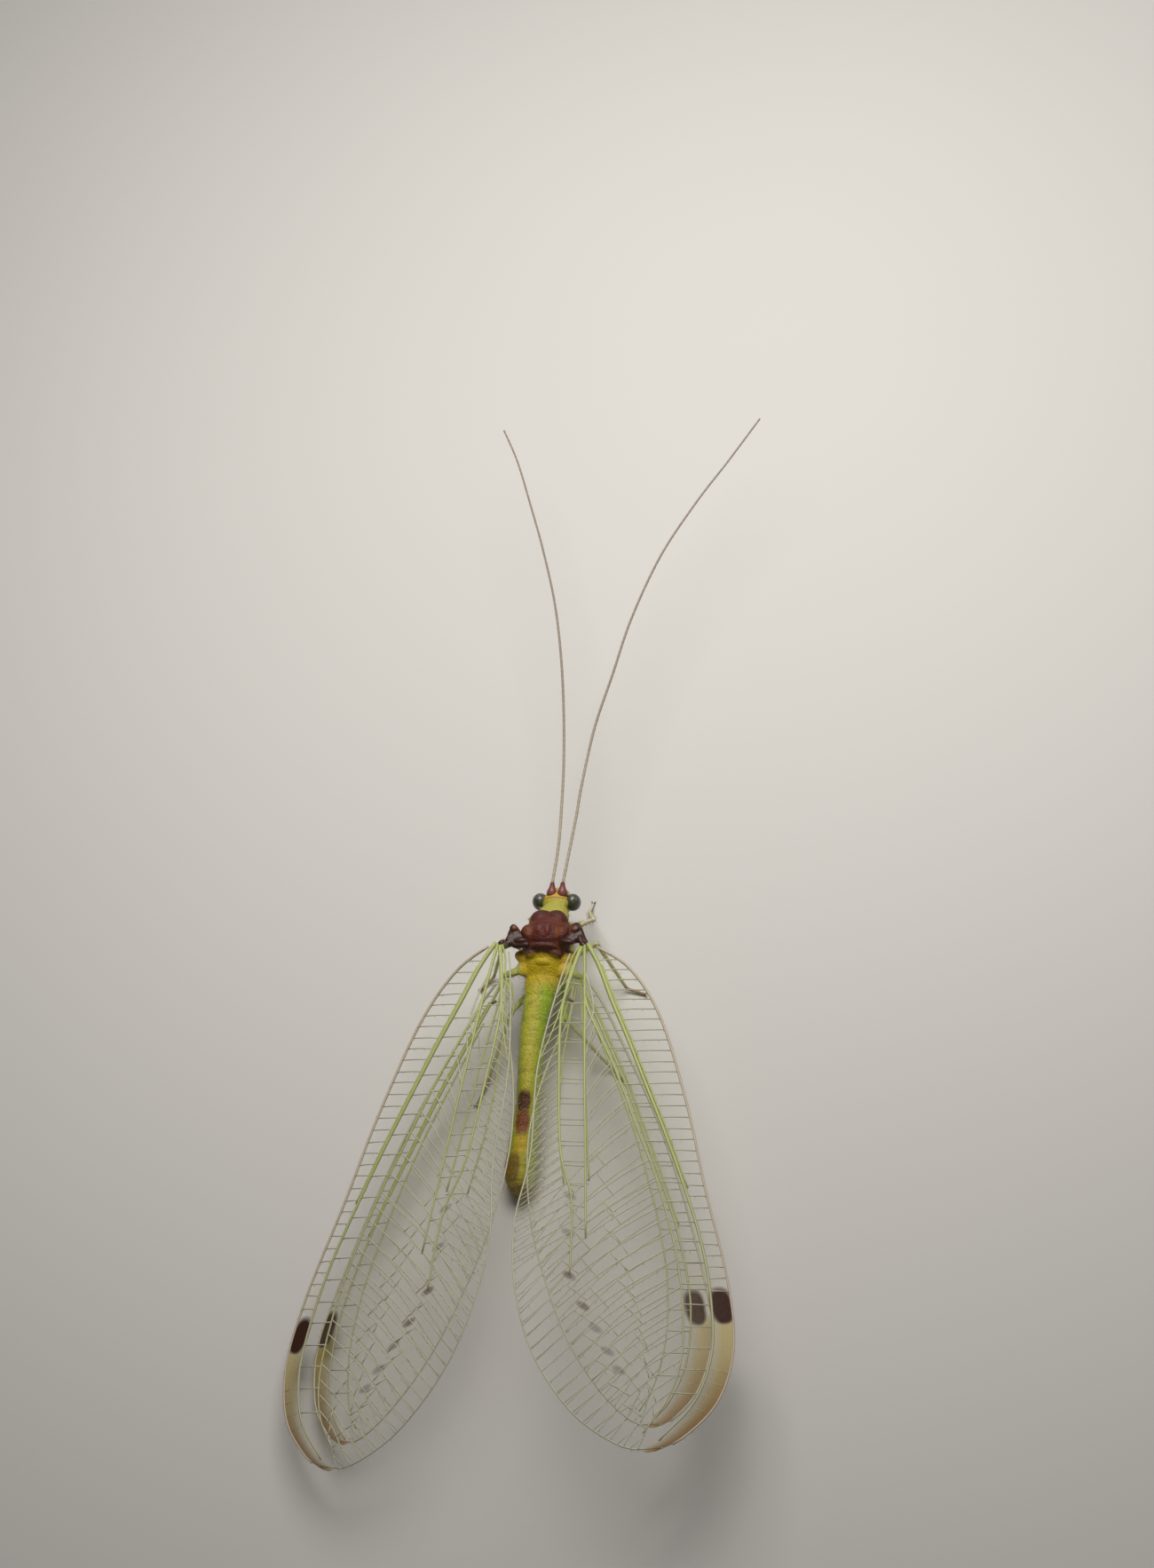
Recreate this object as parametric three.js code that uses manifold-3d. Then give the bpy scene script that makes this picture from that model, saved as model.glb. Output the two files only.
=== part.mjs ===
// A green lacewing at life size, sitting with its wings folded back over the abdomen.
// Units are millimetres. It is drawn with the head towards +Y and its own right side towards +X,
// standing on Z = 0, and the finished group is turned half round so that the head faces -Y.
import * as THREE from "three";
import Module from "manifold-3d";

const wasm = await Module();
wasm.setup();

// Driving sizes
const GAP = 0.04; // air between neighbouring pieces of the body
const WING_THICKNESS = 0.5;
const LIMB_RADIUS = 0.26; // legs and feelers
const BODY_SIDES = 20; // facets round the trunk
const LIMB_SIDES = 10; // facets round a leg or a feeler
const BODY_STEPS = 3; // rings between two stations of the trunk

const FOREWING_LENGTH = 19;
const HINDWING_LENGTH = 17;
const FOREWING_CAMBER = 0.3;
const HINDWING_CAMBER = 0.2;

const HEAD_X = 0.12; // the head is turned a little to the animal's right
const EYE_SPREAD = 0.6;
const EYE_RADII = new THREE.Vector3(0.25, 0.33, 0.35);
const EYE_Y = 2.06;
const EYE_Z = 2.14;
const SCAPE_SPREAD = 0.29;
const SCAPE_LENGTH = 0.36;

// Colours and surfaces
const SKIN_GREEN = new THREE.MeshStandardMaterial({ color: 0xb9c24a, roughness: 0.5, metalness: 0 });
const SKIN_BROWN = new THREE.MeshStandardMaterial({ color: 0x7a4630, roughness: 0.55, metalness: 0 });
const EYE_DARK = new THREE.MeshStandardMaterial({ color: 0x2b2d26, roughness: 0.18, metalness: 0 });
const FEELER_TAN = new THREE.MeshStandardMaterial({ color: 0x8d7763, roughness: 0.6, metalness: 0 });
const WING_CLEAR = new THREE.MeshStandardMaterial({
  color: 0xc9cbb9,
  roughness: 0.25,
  metalness: 0,
  transparent: true,
  opacity: 0.45,
});

const animal = new THREE.Group();

function addNode(name, geometry, material) {
  const mesh = new THREE.Mesh(geometry, material);
  mesh.name = name;
  animal.add(mesh);
}

// One closed body through a row of rings that all have the same number of corners.
function loft(rings) {
  const corners = rings[0].length;
  const positions = [];
  const index = [];
  for (const ring of rings) {
    for (const corner of ring) positions.push(corner.x, corner.y, corner.z);
  }
  for (let r = 0; r + 1 < rings.length; r++) {
    for (let c = 0; c < corners; c++) {
      const a = r * corners + c;
      const b = r * corners + ((c + 1) % corners);
      index.push(a, b, b + corners, a, b + corners, a + corners);
    }
  }
  for (const end of [0, rings.length - 1]) {
    const middle = positions.length / 3;
    const centre = new THREE.Vector3();
    for (const corner of rings[end]) centre.add(corner);
    centre.divideScalar(corners);
    positions.push(centre.x, centre.y, centre.z);
    for (let c = 0; c < corners; c++) {
      const a = end * corners + c;
      const b = end * corners + ((c + 1) % corners);
      if (end === 0) index.push(middle, b, a);
      else index.push(middle, a, b);
    }
  }
  const geometry = new THREE.BufferGeometry();
  geometry.setAttribute("position", new THREE.Float32BufferAttribute(positions, 3));
  geometry.setIndex(index);
  if (signedVolume(geometry) < 0) {
    for (let i = 0; i < index.length; i += 3) [index[i], index[i + 1]] = [index[i + 1], index[i]];
    geometry.setIndex(index);
  }
  geometry.computeVertexNormals();
  return geometry;
}

function signedVolume(geometry) {
  const p = geometry.getAttribute("position");
  const index = geometry.getIndex();
  const [a, b, c] = [new THREE.Vector3(), new THREE.Vector3(), new THREE.Vector3()];
  let volume = 0;
  for (let i = 0; i < index.count; i += 3) {
    a.fromBufferAttribute(p, index.getX(i));
    b.fromBufferAttribute(p, index.getX(i + 1));
    c.fromBufferAttribute(p, index.getX(i + 2));
    volume += a.dot(b.cross(c)) / 6;
  }
  return volume;
}

// Solids are cut and joined here; positions are welded first so that each is one closed surface.
function toSolid(geometry) {
  const flat = geometry.getIndex() ? geometry.toNonIndexed() : geometry;
  const p = flat.getAttribute("position");
  const found = new Map();
  const vertices = [];
  const triangles = [];
  for (let i = 0; i < p.count; i++) {
    const at = [p.getX(i), p.getY(i), p.getZ(i)];
    const key = at.map((value) => value.toFixed(5)).join(" ");
    if (!found.has(key)) {
      found.set(key, vertices.length / 3);
      vertices.push(...at);
    }
    triangles.push(found.get(key));
  }
  const kept = [];
  for (let i = 0; i < triangles.length; i += 3) {
    const [a, b, c] = triangles.slice(i, i + 3);
    if (a !== b && b !== c && a !== c) kept.push(a, b, c);
  }
  return new wasm.Manifold(
    new wasm.Mesh({
      numProp: 3,
      vertProperties: new Float32Array(vertices),
      triVerts: new Uint32Array(kept),
    }),
  );
}

function toGeometry(solid) {
  const mesh = solid.getMesh();
  const geometry = new THREE.BufferGeometry();
  geometry.setAttribute("position", new THREE.Float32BufferAttribute(mesh.vertProperties, 3));
  geometry.setIndex(Array.from(mesh.triVerts));
  geometry.computeVertexNormals();
  return geometry;
}

// Keeps the largest body, because a cut can leave a sliver beside it.
function largest(solid) {
  const bodies = solid.decompose();
  bodies.sort((a, b) => b.volume() - a.volume());
  return bodies[0];
}

function cutAway(geometry, cutters) {
  let solid = toSolid(geometry);
  for (const cutter of cutters) solid = solid.subtract(toSolid(cutter));
  return toGeometry(largest(solid));
}

function boxBelow(level) {
  const size = 60;
  const box = new THREE.BoxGeometry(size, size, size);
  box.translate(0, 0, level - size / 2);
  return box;
}

// Trunk: each station gives where its middle is, its half width, and its height above and below.
function trunkPiece(stations, grow = 0) {
  const middles = stations.map((s) => new THREE.Vector3(s.x, s.y, s.z));
  const sizes = stations.map((s) => new THREE.Vector3(s.half, s.top, s.bottom));
  const path = new THREE.CatmullRomCurve3(middles, false, "catmullrom");
  const girth = new THREE.CatmullRomCurve3(sizes, false, "catmullrom");
  const steps = (stations.length - 1) * BODY_STEPS;
  const rings = [];
  for (let i = 0; i <= steps; i++) {
    const middle = path.getPoint(i / steps);
    const size = girth.getPoint(i / steps);
    if (grow && i === 0) middle.y += Math.sign(stations[0].y - stations.at(-1).y) * grow;
    if (grow && i === steps) middle.y -= Math.sign(stations[0].y - stations.at(-1).y) * grow;
    const ring = [];
    for (let k = 0; k < BODY_SIDES; k++) {
      const angle = (2 * Math.PI * k) / BODY_SIDES;
      const rise = Math.sin(angle) > 0 ? size.y : size.z;
      const x = middle.x + (size.x + grow) * Math.cos(angle);
      const z = middle.z + (rise + grow) * Math.sin(angle);
      ring.push(new THREE.Vector3(x, middle.y, z));
    }
    rings.push(ring);
  }
  return loft(rings);
}

const HEAD = [
  { y: 1.77, x: HEAD_X - 0.02, z: 2.18, half: 0.4, top: 0.36, bottom: 0.45 },
  { y: 1.88, x: HEAD_X, z: 2.14, half: 0.54, top: 0.48, bottom: 0.62 },
  { y: 2.14, x: HEAD_X, z: 2.1, half: 0.6, top: 0.56, bottom: 0.76 },
  { y: 2.42, x: HEAD_X, z: 2.02, half: 0.55, top: 0.52, bottom: 0.82 },
  { y: 2.62, x: HEAD_X, z: 1.9, half: 0.42, top: 0.42, bottom: 0.78 },
  { y: 2.76, x: HEAD_X, z: 1.76, half: 0.22, top: 0.26, bottom: 0.5 },
];
const MOUTHPARTS = [
  { y: 2.34, x: HEAD_X, z: 1.02, half: 0.25, top: 0.14, bottom: 0.2 },
  { y: 2.5, x: HEAD_X, z: 0.98, half: 0.32, top: 0.16, bottom: 0.26 },
  { y: 2.68, x: HEAD_X, z: 0.98, half: 0.3, top: 0.16, bottom: 0.26 },
  { y: 2.84, x: HEAD_X, z: 0.98, half: 0.2, top: 0.12, bottom: 0.16 },
];
const PRONOTUM = [
  { y: 1.17, x: 0.08, z: 2.42, half: 0.62, top: 0.54, bottom: 0.64 },
  { y: 1.45, x: 0.1, z: 2.36, half: 0.58, top: 0.47, bottom: 0.56 },
  { y: 1.73, x: 0.1, z: 2.26, half: 0.5, top: 0.42, bottom: 0.46 },
];
const MESOTHORAX = [
  { y: -0.26, x: 0.03, z: 2.25, half: 0.86, top: 0.95, bottom: 1.02 },
  { y: 0.0, x: 0.04, z: 2.3, half: 0.93, top: 1.07, bottom: 1.1 },
  { y: 0.32, x: 0.06, z: 2.35, half: 0.96, top: 1.12, bottom: 1.1 },
  { y: 0.7, x: 0.07, z: 2.4, half: 0.92, top: 1.02, bottom: 1.02 },
  { y: 0.98, x: 0.08, z: 2.45, half: 0.8, top: 0.8, bottom: 0.92 },
  { y: 1.13, x: 0.08, z: 2.48, half: 0.66, top: 0.58, bottom: 0.76 },
];
const METATHORAX = [
  { y: -0.3, x: 0.03, z: 2.2, half: 0.84, top: 0.74, bottom: 0.96 },
  { y: -0.58, x: 0.01, z: 2.12, half: 0.83, top: 0.7, bottom: 0.88 },
  { y: -0.84, x: 0, z: 2.04, half: 0.76, top: 0.58, bottom: 0.7 },
];
const ABDOMEN = [
  { y: -0.88, x: 0, z: 2.02, half: 0.74, top: 0.54, bottom: 0.62 },
  { y: -1.3, x: -0.05, z: 1.97, half: 0.6, top: 0.48, bottom: 0.54 },
  { y: -1.9, x: -0.12, z: 1.9, half: 0.52, top: 0.46, bottom: 0.5 },
  { y: -2.5, x: -0.18, z: 1.81, half: 0.48, top: 0.45, bottom: 0.5 },
  { y: -3.3, x: -0.2, z: 1.66, half: 0.45, top: 0.45, bottom: 0.5 },
  { y: -4.1, x: -0.2, z: 1.48, half: 0.44, top: 0.45, bottom: 0.5 },
  { y: -4.9, x: -0.18, z: 1.28, half: 0.43, top: 0.45, bottom: 0.5 },
  { y: -5.8, x: -0.2, z: 1.05, half: 0.46, top: 0.47, bottom: 0.54 },
  { y: -6.7, x: -0.24, z: 0.84, half: 0.53, top: 0.5, bottom: 0.62 },
  { y: -7.45, x: -0.26, z: 0.68, half: 0.57, top: 0.5, bottom: 0.72 },
  { y: -8.0, x: -0.26, z: 0.58, half: 0.44, top: 0.42, bottom: 0.64 },
  { y: -8.3, x: -0.26, z: 0.5, half: 0.22, top: 0.22, bottom: 0.42 },
];
const ABDOMEN_LENGTHS = 4;

const abdomenShare = (ABDOMEN.length - 1) / ABDOMEN_LENGTHS;

// A length of the abdomen, from one share of its stations to the next.
function abdomenLength(number, grow = 0) {
  const cut = (place) => {
    const low = Math.min(Math.floor(place), ABDOMEN.length - 2);
    const share = place - low;
    const [a, b] = [ABDOMEN[low], ABDOMEN[low + 1]];
    return Object.fromEntries(Object.keys(a).map((key) => [key, a[key] + (b[key] - a[key]) * share]));
  };
  const from = number * abdomenShare;
  const to = (number + 1) * abdomenShare;
  const stations = [cut(from)];
  for (let i = Math.floor(from) + 1; i < to; i++) {
    if (i - from > 0.2 && to - i > 0.2) stations.push(ABDOMEN[i]);
  }
  stations.push(cut(to));
  if (number > 0) stations[0].y -= GAP;
  return trunkPiece(stations, grow);
}

// Head with two round eyes let into its sides and two scapes at the front of its crown
function eye(side, grow = 0) {
  const ball = new THREE.SphereGeometry(1, 16, 10);
  ball.scale(EYE_RADII.x + grow, EYE_RADII.y + grow, EYE_RADII.z + grow);
  ball.translate(HEAD_X + side * EYE_SPREAD, EYE_Y, EYE_Z);
  return ball;
}

function scape(side, grow = 0) {
  const base = new THREE.Vector3(HEAD_X + 0.02 + side * SCAPE_SPREAD, 2.5, 2.34);
  const rise = new THREE.Vector3(0, 0.72, 0.69);
  const tip = base.clone().addScaledVector(rise, SCAPE_LENGTH + grow);
  return limb([base.addScaledVector(rise, -grow), tip], [0.2 + grow, 0.26 + grow]);
}

// Legs and feelers: a tube through joints, each ring standing square to the bend.
function limb(joints, radii, startCut = 0, endCut = 0) {
  const rings = [];
  joints.forEach((joint, i) => {
    const before = joints[Math.max(i - 1, 0)];
    const after = joints[Math.min(i + 1, joints.length - 1)];
    const ahead = after.clone().sub(before).normalize();
    const side = new THREE.Vector3(0, 0, 1).cross(ahead);
    if (side.length() < 0.1) side.set(1, 0, 0);
    side.normalize();
    const up = ahead.clone().cross(side);
    const middle = joint.clone();
    if (i === 0) middle.addScaledVector(ahead, startCut);
    if (i === joints.length - 1) middle.addScaledVector(ahead, -endCut);
    const ring = [];
    for (let k = 0; k < LIMB_SIDES; k++) {
      const angle = (2 * Math.PI * (k + 0.5)) / LIMB_SIDES;
      const corner = middle.clone();
      corner.addScaledVector(side, radii[i] * Math.cos(angle));
      corner.addScaledVector(up, radii[i] * Math.sin(angle));
      ring.push(corner);
    }
    rings.push(ring);
  });
  return loft(rings);
}

const point = (x, y, z) => new THREE.Vector3(x, y, z);

const trunk = (grow) => [
  trunkPiece(HEAD, grow),
  trunkPiece(PRONOTUM, grow),
  trunkPiece(MESOTHORAX, grow),
  trunkPiece(METATHORAX, grow),
  ...Array.from({ length: ABDOMEN_LENGTHS }, (_, i) => abdomenLength(i, grow)),
];
const trunkWithRoom = trunk(GAP);

const headCutters = [];
for (const side of [-1, 1]) headCutters.push(eye(side, GAP), scape(side, GAP));
addNode("head", cutAway(trunkPiece(HEAD), headCutters), SKIN_GREEN);
addNode("mouthparts", cutAway(trunkPiece(MOUTHPARTS), [trunkPiece(HEAD, GAP)]), SKIN_GREEN);
addNode("pronotum", trunkPiece(PRONOTUM), SKIN_GREEN);
addNode("mesothorax", trunkPiece(MESOTHORAX), SKIN_BROWN);
addNode("metathorax", trunkPiece(METATHORAX), SKIN_GREEN);
for (let i = 0; i < ABDOMEN_LENGTHS; i++) {
  const last = i === ABDOMEN_LENGTHS - 1;
  const whole = abdomenLength(i);
  addNode(`abdomen_${i + 1}`, last ? cutAway(whole, [boxBelow(0)]) : whole, SKIN_GREEN);
}
for (const [name, side] of [["left", -1], ["right", 1]]) {
  addNode(`eye_${name}`, eye(side), EYE_DARK);
  addNode(`scape_${name}`, scape(side), FEELER_TAN);
}

// Feelers: each in three lengths, from the scape out past the head by a forewing's length
const FEELER_JOINTS = {
  left: [
    point(-0.15, 2.8, 2.62),
    point(-0.17, 4.4, 2.78),
    point(-0.22, 7.1, 2.96),
    point(-0.36, 9.25, 3.12),
    point(-0.64, 11.4, 3.3),
    point(-1.1, 13.6, 3.48),
    point(-1.77, 15.8, 3.66),
    point(-2.43, 17.65, 3.82),
    point(-3.14, 19.55, 3.98),
    point(-3.84, 20.95, 4.1),
  ],
  right: [
    point(0.43, 2.8, 2.62),
    point(0.47, 4.4, 2.78),
    point(0.62, 6.3, 2.94),
    point(0.9, 8.55, 3.12),
    point(1.33, 10.7, 3.3),
    point(1.82, 13.05, 3.48),
    point(2.64, 15.6, 3.66),
    point(3.76, 17.8, 3.82),
    point(4.77, 19.4, 3.98),
    point(5.86, 21.3, 4.1),
  ],
};
for (const [name, joints] of Object.entries(FEELER_JOINTS)) {
  const curve = new THREE.CatmullRomCurve3(joints);
  const lengths = 3;
  const steps = 7;
  for (let n = 0; n < lengths; n++) {
    const stretch = [];
    for (let i = 0; i <= steps; i++) stretch.push(curve.getPointAt((n + i / steps) / lengths));
    const radii = stretch.map(() => LIMB_RADIUS);
    addNode(`antenna_${name}_${n + 1}`, limb(stretch, radii, n ? GAP : 0), FEELER_TAN);
  }
}

// Legs: coxa and femur in one piece, then the shin, then the foot lying on the ground
const SOLE = 0; // level of the ground
const FOOT_HEIGHT = 0.22; // middle of the foot above the ground, so that its sole is cut flat
const ground = (x, y) => point(x, y, FOOT_HEIGHT);
// Hip, knee, ankle and toe of each leg
const LEGS = {
  fore_left: [point(-0.3, 1.35, 1.5), point(-0.9, 1.75, 1.5), ground(-0.65, 2.35), ground(-0.4, 2.95)],
  fore_right: [point(0.42, 1.35, 1.5), point(1.3, 1.78, 1.62), ground(0.98, 2.6), ground(0.85, 3.2)],
  mid_left: [point(-0.42, 0.4, 1.15), point(-1.6, 0.7, 1.9), ground(-2.3, 0.15), ground(-2.75, -0.35)],
  mid_right: [point(0.5, 0.4, 1.15), point(1.68, 0.58, 1.95), ground(2.5, -0.2), ground(3.2, -0.38)],
  hind_left: [point(-0.4, -0.5, 1.05), point(-1.17, -1.82, 1.36), ground(-1.97, -3.9), ground(-2.3, -4.84)],
  hind_right: [point(0.45, -0.5, 1.05), point(0.8, -2.08, 1.42), ground(2.33, -3.3), ground(2.96, -3.86)],
};
for (const [name, [hip, knee, ankle, toe]] of Object.entries(LEGS)) {
  // The pieces stop short of each bend by as much as the bend makes them lean into each other.
  const room = (a, b, c) => {
    const turn = b.clone().sub(a).angleTo(c.clone().sub(b));
    return LIMB_RADIUS * Math.tan(Math.min(turn, 2.2) / 2) * 0.98 + GAP / 2;
  };
  const atKnee = Math.min(room(hip, knee, ankle), 0.42);
  const atAnkle = Math.min(room(knee, ankle, toe), 0.2);
  const femur = limb([hip, knee], [0.28, 0.25], 0, atKnee);
  const shin = limb([knee, ankle], [0.25, 0.25], atKnee * 0.6, atAnkle);
  const foot = limb([ankle, toe], [0.25, 0.25], atAnkle + 0.06, 0);
  addNode(`femur_${name}`, cutAway(femur, trunkWithRoom), SKIN_GREEN);
  const femurRoom = limb([hip, knee], [0.28 + GAP, 0.25 + GAP], -GAP, atKnee - GAP);
  const shinRoom = limb([knee, ankle], [0.25 + GAP, 0.25 + GAP], atKnee * 0.6 - GAP, atAnkle - GAP);
  addNode(`tibia_${name}`, cutAway(shin, [femurRoom, boxBelow(SOLE), ...trunkWithRoom]), SKIN_GREEN);
  addNode(`tarsus_${name}`, cutAway(foot, [shinRoom, boxBelow(SOLE), trunkWithRoom[0]]), SKIN_BROWN);
}

// Wings: an edge along the front and one along the back, both from the root to the tip, with
// u along the wing and v towards its front edge. Each wing is a thin cambered plate.
const edge = (pairs) => new THREE.SplineCurve(pairs.map(([u, v]) => new THREE.Vector2(u, v)));
const FOREWING = {
  camber: FOREWING_CAMBER,
  front: edge([
    [0, 0.25],
    [1.2, 1.38],
    [3.3, 2.1],
    [6.8, 2.43],
    [10, 2.5],
    [13.3, 2.65],
    [15.8, 2.46],
    [17.6, 1.66],
    [18.65, 0.4],
    [FOREWING_LENGTH, -0.55],
  ]),
  back: edge([
    [0, -0.4],
    [1.5, -1.1],
    [4.6, -2.25],
    [7.9, -2.95],
    [10.3, -3.8],
    [12.6, -4.1],
    [15, -3.88],
    [17.2, -2.98],
    [18.5, -1.8],
    [FOREWING_LENGTH, -0.8],
  ]),
};
const HINDWING = {
  camber: HINDWING_CAMBER,
  front: edge([
    [0, 0.2],
    [1, 0.6],
    [3, 1.1],
    [6, 1.75],
    [9, 2.12],
    [12, 2.3],
    [14, 2.25],
    [15.8, 1.55],
    [16.75, 0.6],
    [HINDWING_LENGTH, -0.05],
  ]),
  back: edge([
    [0, -0.25],
    [1.5, -0.6],
    [3.5, -1.7],
    [6, -2.6],
    [9, -2.95],
    [11.8, -2.72],
    [13.8, -2.3],
    [15.5, -1.6],
    [16.6, -0.85],
    [HINDWING_LENGTH, -0.2],
  ]),
};
const degrees = THREE.MathUtils.degToRad;
// spread turns the wing away from the tail, droop lowers its tip, and roof lowers its front edge.
const WING_POSE = {
  left: { side: -1, spread: degrees(12.7), droop: degrees(4.3), roof: degrees(19.0) },
  right: { side: 1, spread: degrees(16.0), droop: degrees(-4.0), roof: degrees(10.0) },
};
const WING_ROOT = {
  forewing: point(1.505, 0, 3.0),
  hindwing: point(1.305, -0.9, 2.2),
};
const WING_STATIONS = 20;
const WING_STRIPS = 6;

function wing(shape, root, pose) {
  const { side, spread, droop, roof } = pose;
  const along = point(
    side * Math.sin(spread) * Math.cos(droop),
    -Math.cos(spread) * Math.cos(droop),
    -Math.sin(droop),
  );
  const level = point(side * Math.cos(spread), Math.sin(spread), 0);
  const upright = level.clone().cross(along).multiplyScalar(side);
  if (upright.z < 0) upright.negate();
  const across = level.clone().multiplyScalar(Math.cos(roof)).addScaledVector(upright, -Math.sin(roof));
  const normal = across.clone().cross(along).normalize();
  if (normal.z < 0) normal.negate();
  const base = point(side * root.x, root.y, root.z);
  const place = (u, v, lift) => {
    const at = base.clone();
    at.addScaledVector(along, u);
    at.addScaledVector(across, v);
    at.addScaledVector(normal, lift);
    return at;
  };
  const rings = [];
  for (let i = 0; i <= WING_STATIONS; i++) {
    const front = shape.front.getPointAt(i / WING_STATIONS);
    const back = shape.back.getPointAt(i / WING_STATIONS);
    const chord = front.distanceTo(back);
    const top = [];
    const underside = [];
    for (let k = 0; k <= WING_STRIPS; k++) {
      const share = k / WING_STRIPS;
      const uv = back.clone().lerp(front, share);
      const arch = shape.camber * Math.min(chord / 5, 1) * (1 - (2 * share - 1) ** 2);
      top.push(place(uv.x, uv.y, arch + WING_THICKNESS / 2));
      underside.unshift(place(uv.x, uv.y, arch - WING_THICKNESS / 2));
    }
    rings.push([...top, ...underside]);
  }
  return loft(rings);
}

for (const [name, pose] of Object.entries(WING_POSE)) {
  addNode(`forewing_${name}`, wing(FOREWING, WING_ROOT.forewing, pose), WING_CLEAR);
  addNode(`hindwing_${name}`, wing(HINDWING, WING_ROOT.hindwing, pose), WING_CLEAR);
}

// Turn the head towards -Y and set the middle of the footprint over the origin.
animal.rotation.z = Math.PI;
animal.updateMatrixWorld(true);
const box = new THREE.Box3().setFromObject(animal, true);
const part = new THREE.Group();
part.name = "green_lacewing";
part.position.set(-(box.min.x + box.max.x) / 2, -(box.min.y + box.max.y) / 2, -box.min.z);
part.add(animal);

export default part;
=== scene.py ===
import math
import random
from functools import partial

import bmesh
import bpy
import numpy as np
from mathutils import Matrix, Vector


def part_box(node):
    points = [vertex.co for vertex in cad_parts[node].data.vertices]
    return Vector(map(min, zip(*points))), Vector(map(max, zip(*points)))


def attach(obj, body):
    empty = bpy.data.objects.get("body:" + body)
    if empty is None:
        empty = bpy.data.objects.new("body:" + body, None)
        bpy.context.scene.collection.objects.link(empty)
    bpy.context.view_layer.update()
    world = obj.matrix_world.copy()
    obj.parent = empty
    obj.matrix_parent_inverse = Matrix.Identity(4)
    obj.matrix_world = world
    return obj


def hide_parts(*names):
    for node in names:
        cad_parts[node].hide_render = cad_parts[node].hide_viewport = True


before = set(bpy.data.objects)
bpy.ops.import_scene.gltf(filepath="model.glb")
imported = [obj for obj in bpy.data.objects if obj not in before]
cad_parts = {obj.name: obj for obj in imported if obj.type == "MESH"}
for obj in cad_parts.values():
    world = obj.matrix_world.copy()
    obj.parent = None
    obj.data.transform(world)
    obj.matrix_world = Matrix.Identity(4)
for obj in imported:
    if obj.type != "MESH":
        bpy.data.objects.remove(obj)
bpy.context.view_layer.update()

# The skin.
# One thin, soft cuticle covers head, neck, thorax, abdomen and legs. It is pale green, red-brown on
# the back of the thorax and yellow behind it. It is lofted, its lumps are added, and all is merged.

# Places of the animal are in millimetres: x to its right, y ahead and z up from the ground.
MILLIMETRES = 1000  # in a metre
HEAD_X = 0.12
EYE_SPREAD = 0.6
EYE_Y = 2.06
EYE_Z = 2.14
left_eye_low, left_eye_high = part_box("eye_left")
ORIGIN_X = (left_eye_low.x + left_eye_high.x) / 2 * MILLIMETRES + HEAD_X - EYE_SPREAD
ORIGIN_Y = (left_eye_low.y + left_eye_high.y) / 2 * MILLIMETRES + EYE_Y


def row(point):
    """A point of the animal in millimetres, in the row frame in metres."""
    return Vector((ORIGIN_X - point[0], ORIGIN_Y - point[1], point[2])) / MILLIMETRES


def tint(red, green, blue):
    """A colour as the eye sees it, 0 to 255, as the shader's light."""
    light = [c / 255 for c in (red, green, blue)]
    return (*[c / 12.92 if c < 0.04045 else ((c + 0.055) / 1.055) ** 2.4 for c in light], 1)


class Amount:
    """A shader socket that can be added, multiplied and so on."""

    def __init__(self, finish, socket):
        self.finish = finish
        self.socket = socket

    def worked(self, operation, *values):
        return self.finish.node("ShaderNodeMath", {"operation": operation}, dict(enumerate(values)))

    def __add__(self, other):
        return self.worked("ADD", self, other)

    def __sub__(self, other):
        return self.worked("SUBTRACT", self, other)

    def __rsub__(self, other):
        return self.worked("SUBTRACT", other, self)

    def __mul__(self, other):
        return self.worked("MULTIPLY", self, other)

    def __truediv__(self, other):
        return self.worked("DIVIDE", self, other)

    def __rtruediv__(self, other):
        return self.worked("DIVIDE", other, self)

    def __pow__(self, other):
        return self.worked("POWER", self, other)

    def __abs__(self):
        return self.worked("ABSOLUTE", self)

    __radd__ = __add__
    __rmul__ = __mul__

    def between(self, low, high):
        """0 at low, 1 at high, and smooth from one to the other."""
        return self.finish.node(
            "ShaderNodeMapRange",
            {"interpolation_type": "SMOOTHSTEP"},
            {"Value": self, "From Min": low, "From Max": high},
        )

    def near(self, middle, width):
        """1 at middle, 0 a width away on either side."""
        return 1 - abs(self - middle).between(0, width)

    def most(self, other):
        return self.worked("MAXIMUM", self, other)


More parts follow.
